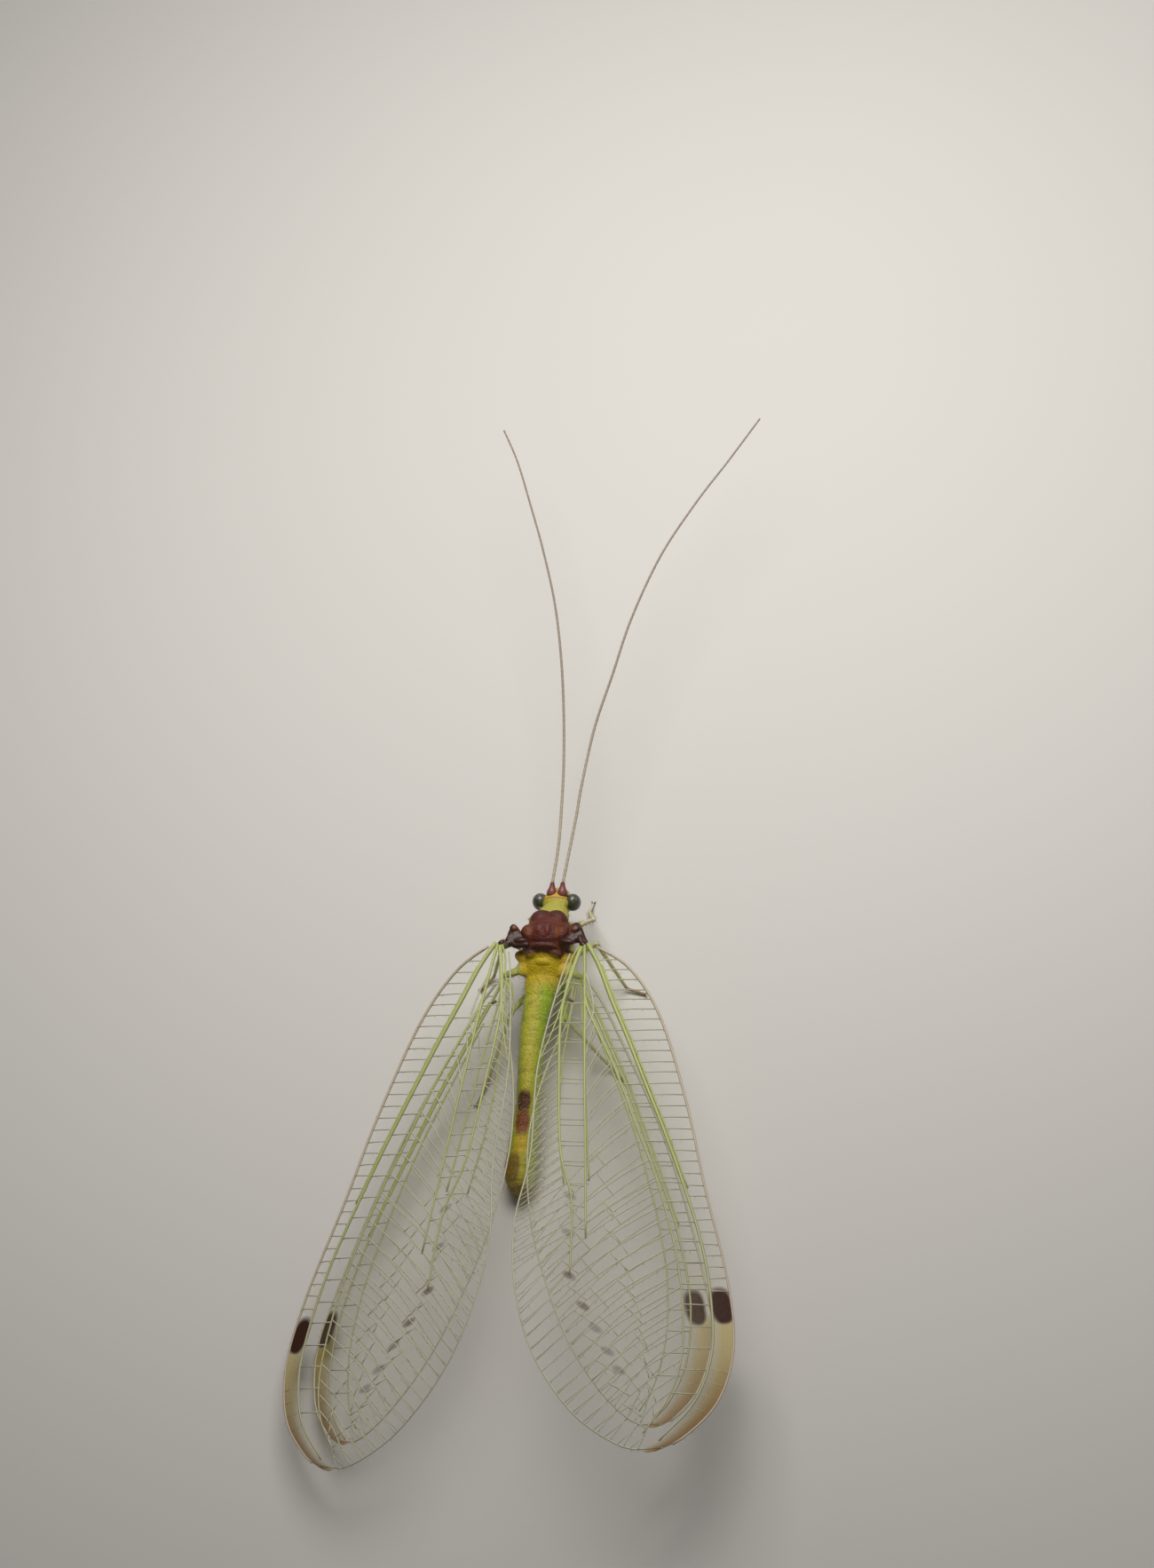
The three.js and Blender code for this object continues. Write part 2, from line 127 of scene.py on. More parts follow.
class Finish:
    """A material made of nodes."""

    def __init__(self, name, **shell):
        self.material = bpy.data.materials.new(name)
        self.material.use_nodes = True
        self.tree = self.material.node_tree
        self.shader = self.tree.nodes["Principled BSDF"]
        self.feed(**shell)

    def node(self, kind, settings=None, values=None, out=0):
        made = self.tree.nodes.new(kind)
        for setting, value in (settings or {}).items():
            setattr(made, setting, value)
        for socket, value in (values or {}).items():
            self.put(made.inputs[socket], value)
        return Amount(self, made.outputs[out])

    def put(self, socket, value):
        if isinstance(value, Amount):
            self.tree.links.new(value.socket, socket)
        else:
            socket.default_value = value

    def feed(self, **values):
        """Values and amounts for the shader's own sockets."""
        for socket, value in values.items():
            self.put(self.shader.inputs[socket.replace("_", " ")], value)

    def mix(self, share, first, second):
        return self.node("ShaderNodeMix", {"data_type": "RGBA"}, {0: share, 6: first, 7: second}, out=2)

    def coated(self, colour, *coats):
        """A colour under several coats, each a share and its own colour."""
        for share, coat in coats:
            colour = self.mix(share, colour, coat)
        return colour

    def parts(self, vector):
        """The three parts of a vector, as amounts."""
        split = self.node("ShaderNodeSeparateXYZ", {}, {0: vector})
        return [Amount(self, socket) for socket in split.socket.node.outputs]

    def own_place(self):
        """The place in the object's own space, in metres."""
        return self.node("ShaderNodeTexCoord", out="Object")

    def stretched_place(self, times):
        return self.node("ShaderNodeMapping", {}, {"Vector": self.own_place(), "Scale": [times] * 3})

    def mottle(self, scale, detail=3.0):
        """Cloudy noise, scale in patches for each millimetre."""
        place = self.stretched_place(MILLIMETRES)
        return self.node("ShaderNodeTexNoise", {}, {"Vector": place, "Scale": scale, "Detail": detail})

    def animal_place(self):
        """x, y and z of the animal in millimetres, as three amounts."""
        x, y, z = self.parts(self.own_place())
        return ORIGIN_X - x * MILLIMETRES, ORIGIN_Y - y * MILLIMETRES, z * MILLIMETRES

    def raise_by(self, height, distance):
        self.feed(Normal=self.node("ShaderNodeBump", {}, {"Height": height, "Distance": distance}))


def add_piece(name, body, finishes, smooth=True, which=None):
    """A mesh object from a body, which is a list of points in millimetres and one of faces."""
    points, faces = body
    mesh = bpy.data.meshes.new(name)
    mesh.from_pydata([tuple(row(p)) for p in points], [], faces)
    mesh.update()
    piece = bpy.data.objects.new(name, mesh)
    bpy.context.scene.collection.objects.link(piece)
    for finish in finishes:
        mesh.materials.append(finish.material)
    if which is not None:
        mesh.polygons.foreach_set("material_index", which)
    if smooth:
        mesh.polygons.foreach_set("use_smooth", [True] * len(mesh.polygons))
    return piece


def round_angles(count):
    """The angles of so many equal turns right round."""
    return [2 * math.pi * k / count for k in range(count)]


def curve_through(points, steps):
    """Points on a smooth curve through the given ones, steps from each to the next."""
    knots = [Vector(p) for p in points]
    knots = [2 * knots[0] - knots[1], *knots, 2 * knots[-1] - knots[-2]]
    found = []
    for before, start, end, after in zip(knots, knots[1:], knots[2:], knots[3:]):
        for k in range(steps):
            t = k / steps
            run = 2 * start + (end - before) * t
            bend = (2 * before - 5 * start + 4 * end - after) * t**2
            turn = (3 * start - before - 3 * end + after) * t**3
            found.append(0.5 * (run + bend + turn))
    found.append(knots[-2])
    return found


def ring_body(rings):
    """Vertices and faces of a closed body through rings of equally many points."""
    sides = len(rings[0])
    vertices = [p for ring in rings for p in ring]
    faces = []
    for r in range(len(rings) - 1):
        for c in range(sides):
            a, b = r * sides + c, r * sides + (c + 1) % sides
            faces.append((a, b, b + sides, a + sides))
    faces.append(tuple(reversed(range(sides))))
    faces.append(tuple(range(len(vertices) - sides, len(vertices))))
    return vertices, faces


def tube(path, radii, sides):
    """A round tube along a path, with one radius for each point."""
    rings = []
    side = Vector((1, 0, 0))
    for i, point in enumerate(path):
        ahead = (path[min(i + 1, len(path) - 1)] - path[max(i - 1, 0)]).normalized()
        up = side.cross(ahead)
        if up.length < 0.05:
            up = Vector((0, 0, 1)).cross(ahead)
        up.normalize()
        side = ahead.cross(up).normalized()
        ring = [point + radii[i] * (math.cos(a) * side + math.sin(a) * up) for a in round_angles(sides)]
        rings.append(ring)
    return ring_body(rings)


def egg(middle, radii, turn=0.0, segments=20):
    """A rounded lump; turn swings it about the upright."""
    made = bmesh.new()
    bmesh.ops.create_uvsphere(made, u_segments=segments, v_segments=segments // 2, radius=1)
    c, s = math.cos(turn), math.sin(turn)
    points = []
    for vertex in made.verts:
        x, y, z = [vertex.co[i] * radii[i] for i in range(3)]
        points.append(Vector((c * x - s * y, s * x + c * y, z)) + Vector(middle))
    faces = [[v.index for v in face.verts] for face in made.faces]
    made.free()
    return points, faces


def joined(bodies):
    """Several bodies as one list of points and one of faces."""
    points, faces = [], []
    for body_points, body_faces in bodies:
        faces += [tuple(len(points) + i for i in face) for face in body_faces]
        points += body_points
    return points, faces


def merged(bodies, cell, smooth_rounds=4):
    """All bodies as one closed surface in millimetres, by remeshing with small cells."""
    points, faces = joined(bodies)
    mesh = bpy.data.meshes.new("merging")
    mesh.from_pydata([tuple(p) for p in points], [], faces)
    holder = bpy.data.objects.new("merging", mesh)
    bpy.context.scene.collection.objects.link(holder)
    remesh = holder.modifiers.new("remesh", "REMESH")
    remesh.mode = "VOXEL"
    remesh.voxel_size = cell
    calm = holder.modifiers.new("calm", "SMOOTH")
    calm.iterations = smooth_rounds
    calm.factor = 0.5
    ready = holder.evaluated_get(bpy.context.evaluated_depsgraph_get())
    done = bpy.data.meshes.new_from_object(ready)
    points = [v.co.copy() for v in done.vertices]
    loops = [tuple(p.vertices) for p in done.polygons]
    bpy.data.objects.remove(holder)
    bpy.data.meshes.remove(mesh)
    bpy.data.meshes.remove(done)
    return points, loops


# Along the trunk: y, then x and z of the middle, half width, height above it and depth below it.
TRUNK = [
    (1.86, 0.12, 2.28, 0.3, 0.26, 0.3),
    (1.74, 0.11, 2.28, 0.45, 0.38, 0.42),
    (1.5, 0.1, 2.34, 0.55, 0.43, 0.52),
    (1.25, 0.08, 2.4, 0.58, 0.48, 0.6),
    (1.1, 0.08, 2.46, 0.66, 0.54, 0.72),
    (0.9, 0.08, 2.44, 0.8, 0.7, 0.86),
    (0.6, 0.07, 2.38, 0.87, 0.86, 0.98),
    (0.3, 0.06, 2.34, 0.86, 0.95, 1.04),
    (0.0, 0.04, 2.28, 0.84, 0.85, 1.02),
    (-0.3, 0.03, 2.2, 0.78, 0.62, 0.9),
    (-0.6, 0.01, 2.1, 0.74, 0.56, 0.8),
    (-0.88, 0.0, 2.02, 0.68, 0.48, 0.58),
    (-1.3, -0.05, 1.97, 0.58, 0.46, 0.52),
    (-1.9, -0.12, 1.9, 0.5, 0.44, 0.48),
    (-2.5, -0.18, 1.81, 0.46, 0.43, 0.48),
    (-3.3, -0.2, 1.66, 0.43, 0.43, 0.48),
    (-4.1, -0.2, 1.48, 0.42, 0.43, 0.48),
    (-4.9, -0.18, 1.28, 0.41, 0.43, 0.48),
    (-5.8, -0.2, 1.05, 0.44, 0.45, 0.52),
    (-6.7, -0.24, 0.84, 0.51, 0.48, 0.6),
    (-7.45, -0.26, 0.68, 0.55, 0.48, 0.66),
    (-8.0, -0.26, 0.58, 0.42, 0.4, 0.56),
    (-8.24, -0.26, 0.5, 0.2, 0.2, 0.34),
]
SEGMENT_ENDS = [-0.9, -1.62, -2.5, -3.4, -4.3, -5.2, -6.1, -6.85, -7.5, -7.95]
SEGMENT_DIP = 0.055  # as a share of the girth
SEGMENT_DIP_LENGTH = 0.07
HEAD_RINGS = [
    (1.78, HEAD_X, 2.2, 0.36, 0.3, 0.4),
    (1.9, HEAD_X, 2.16, 0.5, 0.42, 0.56),
    (2.1, HEAD_X, 2.12, 0.52, 0.47, 0.72),
    (2.3, HEAD_X, 2.06, 0.46, 0.46, 0.78),
    (2.48, HEAD_X, 1.98, 0.4, 0.42, 0.78),
    (2.62, HEAD_X, 1.88, 0.32, 0.36, 0.72),
    (2.72, HEAD_X, 1.78, 0.2, 0.26, 0.5),
]
LOFT_SIDES = 44
LOWEST = 0.01


def loft_table(table, steps, dips=()):
    """A body lofted through the rows of a table, and drawn in a little at each dip."""
    places = curve_through([(r[1], r[0], r[2]) for r in table], steps)
    girths = curve_through([r[3:] for r in table], steps)
    rings = []
    for place, (half, top, bottom) in zip(places, girths):
        tight = 1 - sum(SEGMENT_DIP * math.exp(-(((place.y - y) / SEGMENT_DIP_LENGTH) ** 2)) for y in dips)
        ring = []
        for a in round_angles(LOFT_SIDES):
            rise = (top if math.sin(a) > 0 else bottom) * tight
            z = max(place.z + rise * math.sin(a), LOWEST)
            ring.append(Vector((place.x + half * tight * math.cos(a), place.y, z)))
        rings.append(ring)
    return ring_body(rings)


skin_bodies = [loft_table(TRUNK, 12, SEGMENT_ENDS), loft_table(HEAD_RINGS, 4)]
# Lumps: the crown and the mouth, then the plates of the back from front to rear.
LUMPS = [
    ((HEAD_X - 0.03, 2.16, 2.46), (0.2, 0.13, 0.1), 0),
    ((HEAD_X + 0.17, 2.16, 2.46), (0.19, 0.13, 0.1), 0),
    ((HEAD_X + 0.06, 1.94, 2.36), (0.42, 0.3, 0.22), 0),
    ((HEAD_X, 2.5, 1.3), (0.3, 0.24, 0.3), 0),
    ((-0.2, 1.06, 2.74), (0.4, 0.36, 0.36), 0.4),
    ((0.37, 1.06, 2.74), (0.4, 0.36, 0.36), -0.4),
    ((-0.52, 0.42, 2.8), (0.32, 0.4, 0.4), 0.2),
    ((0.66, 0.42, 2.8), (0.32, 0.4, 0.4), -0.2),
    ((-0.08, 0.44, 2.98), (0.19, 0.32, 0.38), 0),
    ((0.2, 0.44, 2.98), (0.19, 0.32, 0.38), 0),
    ((0.05, -0.06, 2.88), (0.5, 0.12, 0.28), 0),
    ((0.05, -0.27, 2.62), (0.3, 0.16, 0.2), 0),
    ((-0.32, -0.22, 2.7), (0.3, 0.15, 0.2), 0.25),
    ((0.38, -0.2, 2.7), (0.3, 0.15, 0.2), -0.25),
    ((0.02, -0.48, 2.6), (0.3, 0.16, 0.17), 0),
]
skin_bodies += [egg(*lump) for lump in LUMPS]
# Yellow shoulders swell out below the dark plates, and a slim stalk runs on to each hind wing.
for side in (-1, 1):
    skin_bodies += [
        egg((side * 0.68 + 0.05, -0.2, 2.34), (0.46, 0.26, 0.21), side * 0.3),
        egg((side * 0.56 + 0.04, -0.52, 2.26), (0.48, 0.36, 0.2), side * -0.3),
        egg((side * 1.04, -0.72, 2.23), (0.48, 0.15, 0.12), side * -0.4),
    ]
# Two short palps under the face.
for side in (-1, 1):
    palp_ends = [(0.16, 2.52, 1.14), (0.2, 2.64, 0.98), (0.17, 2.76, 0.9)]
    palp = curve_through([(HEAD_X + side * x, y, z) for x, y, z in palp_ends], 5)
    skin_bodies.append(tube(palp, [0.055 - 0.002 * i for i in range(len(palp))], 10))

# Each leg: hip, knee, ankle and toe, as in the solids, with the foot's joints along the ground.
LEGS = {
    "fore_left": [(-0.3, 1.35, 1.5), (-0.9, 1.75, 1.5), (-0.65, 2.35, 0.16), (-0.42, 2.9, 0.06)],
    "fore_right": [(0.42, 1.35, 1.5), (1.34, 1.72, 1.6), (0.86, 2.7, 0.3), (0.9, 3.16, 0.06)],
    "mid_left": [(-0.42, 0.4, 1.15), (-1.6, 0.7, 1.9), (-2.3, 0.15, 0.16), (-2.7, -0.31, 0.06)],
    "mid_right": [(0.5, 0.4, 1.15), (1.68, 0.58, 1.95), (2.5, -0.2, 0.16), (3.14, -0.37, 0.06)],
    "hind_left": [(-0.4, -0.5, 1.05), (-1.17, -1.82, 1.36), (-1.97, -3.9, 0.16), (-2.28, -4.78, 0.06)],
    "hind_right": [(0.45, -0.5, 1.05), (0.8, -2.08, 1.42), (2.33, -3.3, 0.16), (2.91, -3.81, 0.06)],
}
FOOT_JOINTS = 5
foot_paths = []
for joints in LEGS.values():
    hip, knee, ankle, toe = [Vector(p) for p in joints]
    coxa = hip + (knee - hip) * 0.3
    thigh = [hip.lerp(knee, t / 12) for t in range(13)]
    swell = [0.085 + 0.03 * math.sin(math.pi * min(1, 0.15 + t / 12)) for t in range(13)]
    shin = [knee.lerp(ankle, t / 14) + Vector((0, 0, 0.05 * math.sin(math.pi * t / 14))) for t in range(15)]
    foot = [ankle.lerp(toe, t / 30) for t in range(31)]
    beads = [0.05 + 0.012 * abs(math.sin(math.pi * FOOT_JOINTS * t / 30)) for t in range(31)]
    skin_bodies += [
        egg(hip + (coxa - hip) * 0.3 + Vector((0, 0, 0.08)), (0.2, 0.2, 0.3)),
        tube(thigh, swell, 14),
        tube(shin, [0.078 - 0.0012 * t for t in range(15)], 12),
        egg(knee, (0.1, 0.1, 0.1), segments=14),
        tube(foot, beads, 10),
    ]
    foot_paths.append(foot)

skin_finish = Finish(
    "cuticle",
    Specular_IOR_Level=0.28,
    Subsurface_Weight=0.1,
    Subsurface_Scale=0.0002,
    Subsurface_Radius=(1.0, 0.8, 0.3),
)
across, ahead, height = skin_finish.animal_place()
paint = skin_finish.mix
off_middle = abs(across - 0.05)
off_ridge = abs(across - 0.06)
clouds = skin_finish.mottle(2.2)
grain = skin_finish.mottle(14)
# The animal's right flank is the greener one, the back's middle is yellower.
middle_line = 1 - abs(across + 0.2).between(0.0, 0.34)
flank = (across + 0.1).between(0.1, 0.36)
rings = skin_finish.node(
    "ShaderNodeTexWave",
    {"wave_type": "BANDS", "bands_direction": "Y"},
    {"Scale": 1.0, "Distortion": 0.4, "Vector": skin_finish.stretched_place(350)},
)
body_colour = skin_finish.coated(
    paint(clouds, tint(166, 170, 36), tint(138, 154, 26)),
    (middle_line, tint(178, 168, 54)),
    (flank * 0.75, tint(128, 168, 22)),
    (rings * 0.1, tint(180, 172, 60)),
    (grain * 0.16, tint(190, 180, 100)),
)
# Brown blotches down the back of the abdomen, and the brown end.
back_line = 1 - abs(across + 0.24).between(0.12, 0.34)
left_half = 1 - (across + 0.3).between(-0.05, 0.2)
for place, width, strength, colour, keep in (
    (-6.75, 0.6, 0.75, tint(204, 170, 38), back_line),
    (-5.95, 0.8, 0.95, tint(124, 62, 36), back_line),
    (-5.25, 0.62, 1.0, tint(80, 44, 20), back_line),
    (-7.5, 0.9, 0.85, tint(124, 88, 28), left_half),
    (-8.2, 0.4, 0.8, tint(136, 104, 50), 1.0),
):
    mark = ahead.near(place, width) * keep * (clouds * 0.5 + 0.75)
    body_colour = paint(mark.between(0.1, 0.75) * strength, body_colour, colour)
# The yellow band behind the wings with its orange edges.
orange_edge = off_middle.between(0.42, 0.72) * (ahead + 0.75).between(0.0, 0.3)
orange = paint(orange_edge, tint(184, 158, 26), tint(198, 164, 40))
stalk = off_middle.between(0.74, 0.9) * (1 - (ahead + 0.5).between(0.0, 0.12))
orange = paint(stalk, orange, tint(172, 174, 92))
band = (ahead + 1.25).between(-0.35, 0.35) * height.between(1.7, 2.3)
body_colour = paint(band, body_colour, orange)
# The dark and red-brown plates on the back.
dark_plate = paint(clouds, tint(74, 42, 32), tint(96, 56, 38))
rear_plates = (ahead + 0.26 + abs(across) * 0.16).between(-0.04, 0.05) * height.between(2.54, 2.62)
rear_plates = rear_plates * (1 - off_middle.between(0.66, 0.8))
body_colour = paint(rear_plates, body_colour, dark_plate)
back_red = paint(off_ridge.between(0.2, 0.5), tint(92, 40, 32), tint(100, 46, 24))
rim = off_ridge.between(0.62, 0.86).most((off_ridge * 0.4 + ahead).between(1.08, 1.3))
seam = off_ridge.near(0.0, 0.05) * ahead.between(0.2, 0.4)
# The U-shaped groove behind is darker, partly its own colour and partly painted shade in the groove.
groove_tone_and_shade = (ahead - off_ridge**2 * 0.5).near(0.04, 0.1)
# Dark seams part the front lobes, the middle pair of bars and the side lobes of the back; those round the
# front and side lobes are partly their own colour and partly painted shade in the grooves.
front_seam_tone_and_shade = (ahead - 0.74 + abs(across - 0.08) * 0.12).near(0.0, 0.06)
side_seam_tone_and_shade = (off_ridge - 0.34).near(0.0, 0.045) * (ahead - 0.42).near(0.0, 0.4)
bars = (1 - abs(off_ridge - 0.13).between(0.05, 0.11)) * (ahead - 0.46).near(0.0, 0.26)
orange_side = (off_ridge - 0.52).near(0.0, 0.16) * (ahead - 0.4).near(0.0, 0.34)
back_red = skin_finish.coated(
    back_red,
    (rim * 0.75, tint(66, 30, 26)),
    (seam * 0.5, tint(76, 36, 32)),
    (groove_tone_and_shade * 0.85, tint(52, 25, 22)),
    (front_seam_tone_and_shade.most(side_seam_tone_and_shade) * 0.7, tint(52, 24, 24)),
    (bars * 0.4, tint(122, 64, 54)),
    (orange_side * 0.6, tint(126, 66, 30)),
    (grain * 0.1, tint(116, 66, 54)),
)
mid_back = (ahead + 0.1).between(-0.03, 0.03) * height.between(2.35, 2.6)
body_colour = paint(mid_back, body_colour, back_red)
# Neck, head and face: pale yellow-green with two warmer lobes and a thin red-brown line.
front = (ahead - 1.42 + abs(abs(across - 0.08) - 0.22) ** 2 * 1.5).between(-0.03, 0.03)
pale = paint(clouds, tint(166, 160, 60), tint(174, 166, 80))
lobes = (ahead - 2.06).between(-0.02, 0.05) * height.between(2.1, 2.3)
line = (ahead - 2.05).near(0, 0.045) * height.between(2.3, 2.4)
face = 1 - height.between(1.2, 1.7)
crown = skin_finish.coated(
    pale,
    ((ahead - 1.75).between(0, 0.2), tint(172, 160, 60)),
    (lobes, tint(190, 158, 56)),
    (line * 0.8, tint(148, 84, 46)),
    (face * front, tint(178, 166, 96)),
)
body_colour = paint(front, body_colour, crown)
# Legs are paler, with brown feet.
out = abs(across).between(0.9, 1.0).most((ahead - 2.7).between(0, 0.1)) * (1 - height.between(2.1, 2.2))
limb_colour = paint(height.between(0.1, 0.5), tint(134, 108, 78), tint(186, 184, 128))
limb_colour = paint(ahead.between(0.9, 1.4), limb_colour, tint(200, 192, 164))
low_leg = (1 - height.between(0.95, 1.15)) * (ahead + 4.9).between(-0.1, 0.1)
body_colour = paint(out.most(low_leg), body_colour, limb_colour)
skin_finish.feed(Base_Color=body_colour, Roughness=0.36 + clouds * 0.22)
skin_finish.raise_by(grain + clouds * 0.8, 0.00004)

SKIN_CELL = 0.034
skin = add_piece("skin", merged(skin_bodies, SKIN_CELL), [skin_finish])
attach(skin, "root")
abdomen_nodes = [f"abdomen_{i}" for i in range(1, 5)]
leg_nodes = [f"{length}_{leg}" for length in ("femur", "tibia", "tarsus") for leg in LEGS]
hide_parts("head", "mouthparts", "pronotum", "mesothorax", "metathorax", *abdomen_nodes, *leg_nodes)

# The eyes.
# Two bulging, glossy dark olive eyes of hundreds of tiny lenses, set into the sides of the head.
# Each is an almost round ball, with the lenses and a painted highlight, paler on top, in its finish.

eye_finish = Finish("eye", Roughness=0.12, Coat_Weight=0.6, IOR=1.5)
eye_x, _, eye_z = eye_finish.animal_place()
eye_cloud = eye_finish.mottle(3.0)
# Painted highlight: each eye is paler on top, where the light falls, with a little noise.
painted_top_highlight = ((eye_z - EYE_Z) * 1.6 + eye_cloud * 0.5 - abs(eye_x - HEAD_X) * 0.4).between(-0.05, 0.5)
lenses = eye_finish.node(
    "ShaderNodeTexVoronoi",
    {"feature": "DISTANCE_TO_EDGE"},
    {"Vector": eye_finish.own_place(), "Scale": 30000, "Randomness": 0.35},
)
eye_colour = eye_finish.mix(painted_top_highlight * 0.8, tint(34, 36, 32), tint(84, 86, 60))
eye_finish.feed(Base_Color=eye_finish.mix(lenses.between(0.0, 0.2), tint(20, 22, 18), eye_colour))
eye_finish.raise_by(lenses.between(0.0, 0.35), 0.000006)
EYE_RADII = (0.285, 0.3, 0.325)
for name, side in (("left", -1), ("right", 1)):
    ball = bmesh.new()
    bmesh.ops.create_icosphere(ball, subdivisions=5, radius=1)
    middle = (HEAD_X - 0.015 + side * (EYE_SPREAD - 0.025), EYE_Y + 0.04, EYE_Z)
    points = [[m + r * c for m, r, c in zip(middle, EYE_RADII, vertex.co)] for vertex in ball.verts]
    faces = [[v.index for v in face.verts] for face in ball.faces]
    ball.free()
    eye = add_piece(f"eye_ball_{name}", (points, faces), [eye_finish])
    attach(eye, "root")
    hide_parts(f"eye_{name}")

# The feelers.
# Each starts in a stout wine-red scape and a dark short joint, then runs as a thread of nearly a
# hundred beads, tan at the root and grey-brown beyond, held up and ahead of the head.

FEELER_PATHS = {
    "left": [
        (-0.01, 2.55, 2.62), (0.07, 4.06, 2.8), (0.02, 5.59, 2.95), (-0.07, 7.13, 3.09),
        (-0.3, 9.24, 3.24), (-0.63, 11.38, 3.38), (-1.1, 13.57, 3.52), (-1.78, 15.79, 3.67),
        (-2.45, 17.66, 3.81), (-3.17, 19.56, 3.96), (-3.86, 20.96, 4.1),
    ],
    "right": [
        (0.36, 2.56, 2.62), (0.5, 4.07, 2.8), (0.61, 5.23, 2.95), (0.68, 6.23, 3.09),
        (0.91, 8.51, 3.24), (1.34, 10.64, 3.38), (1.81, 12.98, 3.52), (2.63, 15.56, 3.67),
        (3.73, 17.78, 3.81), (4.74, 19.44, 3.96), (5.83, 21.34, 4.1),
    ],
}
BEAD_LENGTH = 0.2
BEAD_SHAPE = ((0.0, 0.8), (0.3, 1.0), (0.7, 1.04), (0.94, 0.92))  # shares of its length, and widths
feeler_finish = Finish("feeler", Roughness=0.5)
_, feeler_y, _ = feeler_finish.animal_place()
feeler_cloud = feeler_finish.mottle(5.0)
thread = feeler_finish.mix(feeler_y.between(3.0, 11.0), tint(176, 162, 138), tint(146, 134, 118))
feeler_finish.feed(Base_Color=feeler_finish.mix(feeler_cloud * 0.5, thread, tint(128, 110, 92)))
feeler_finish.raise_by(feeler_cloud, 0.00001)
scape_finish = Finish("scape", Roughness=0.4)
_, scape_y, _ = scape_finish.animal_place()
scape_cloud = scape_finish.mottle(6.0)
scape_red = scape_finish.mix(scape_cloud, tint(134, 74, 64), tint(112, 58, 50))
scape_finish.feed(Base_Color=scape_finish.mix(scape_y.between(2.5, 2.6), scape_red, tint(62, 36, 38)))
scape_finish.raise_by(scape_cloud, 0.00001)
SCAPE_RADII = [0.17, 0.185, 0.19, 0.186, 0.176, 0.16, 0.135, 0.112, 0.1, 0.09, 0.06]
for name, knots in FEELER_PATHS.items():
    path = curve_through(knots, 60)
    lengths = np.cumsum([0] + [(b - a).length for a, b in zip(path, path[1:])])
    count = int(lengths[-1] / BEAD_LENGTH)
    stations, radii = [], []
    for bead in range(count):
        for share, swell in BEAD_SHAPE:
            at = (bead + share) * BEAD_LENGTH
            stations.append(path[min(int(np.searchsorted(lengths, at)), len(path) - 1)])
            radii.append(swell * (0.055 - 0.022 * bead / count))
    feeler = add_piece(f"feeler_{name}", tube(stations, radii, 9), [feeler_finish])
    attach(feeler, "root")
    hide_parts(*[f"antenna_{name}_{n}" for n in (1, 2, 3)])
    base = Vector((knots[0][0] - 0.02, 2.2, 2.4))
    tip = Vector(knots[0])
    stem = [base.lerp(tip, t / 10) for t in range(11)]
    joint = egg(tip, (0.085, 0.085, 0.085), segments=14)
    scape_body = merged([tube(stem, SCAPE_RADII, 18), joint], 0.02, 2)
    scape = add_piece(f"scape_joint_{name}", scape_body, [scape_finish])
    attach(scape, "root")
    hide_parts(f"scape_{name}")

# The claws.
# Each foot ends in a pair of small dark hooks, one on either side, hard and shiny.
# They are curved horn, joined to the last joint of the foot.


def two_tone(name, patches, first, second, **shell):
    """A finish that wanders between two tints, with so many patches to a millimetre."""
    finish = Finish(name, **shell)
    finish.feed(Base_Color=finish.mix(finish.mottle(patches), first, second))
    return finish


claw_finish = two_tone("claw", 8.0, tint(54, 38, 32), tint(92, 66, 50), Roughness=0.3)
hooks = []
for foot in foot_paths:
    toe_way = (foot[-1] - foot[-8]).normalized()
    toe_way.z = 0
    side_way = toe_way.cross(Vector((0, 0, 1))).normalized()
    for side in (-1, 1):
        knots = [
            foot[-1] + side_way * side * 0.02,
            foot[-1] + toe_way * 0.07 + side_way * side * 0.06 + Vector((0, 0, 0.03)),
            foot[-1] + toe_way * 0.13 + side_way * side * 0.07 + Vector((0, 0, -0.035)),
        ]
        hook = curve_through(knots, 5)
        hooks.append(tube(hook, [0.026 - 0.0019 * i for i in range(len(hook))], 7))
claws = add_piece("claws", joined(hooks), [claw_finish])
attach(claws, "root")

# The wings.
# Four clear, finely veined wings lie back over the abdomen like a low roof, the forewings on top.
# Each is a film with veins of green, grey-brown and pinkish brown, and a dark spot near the tip.

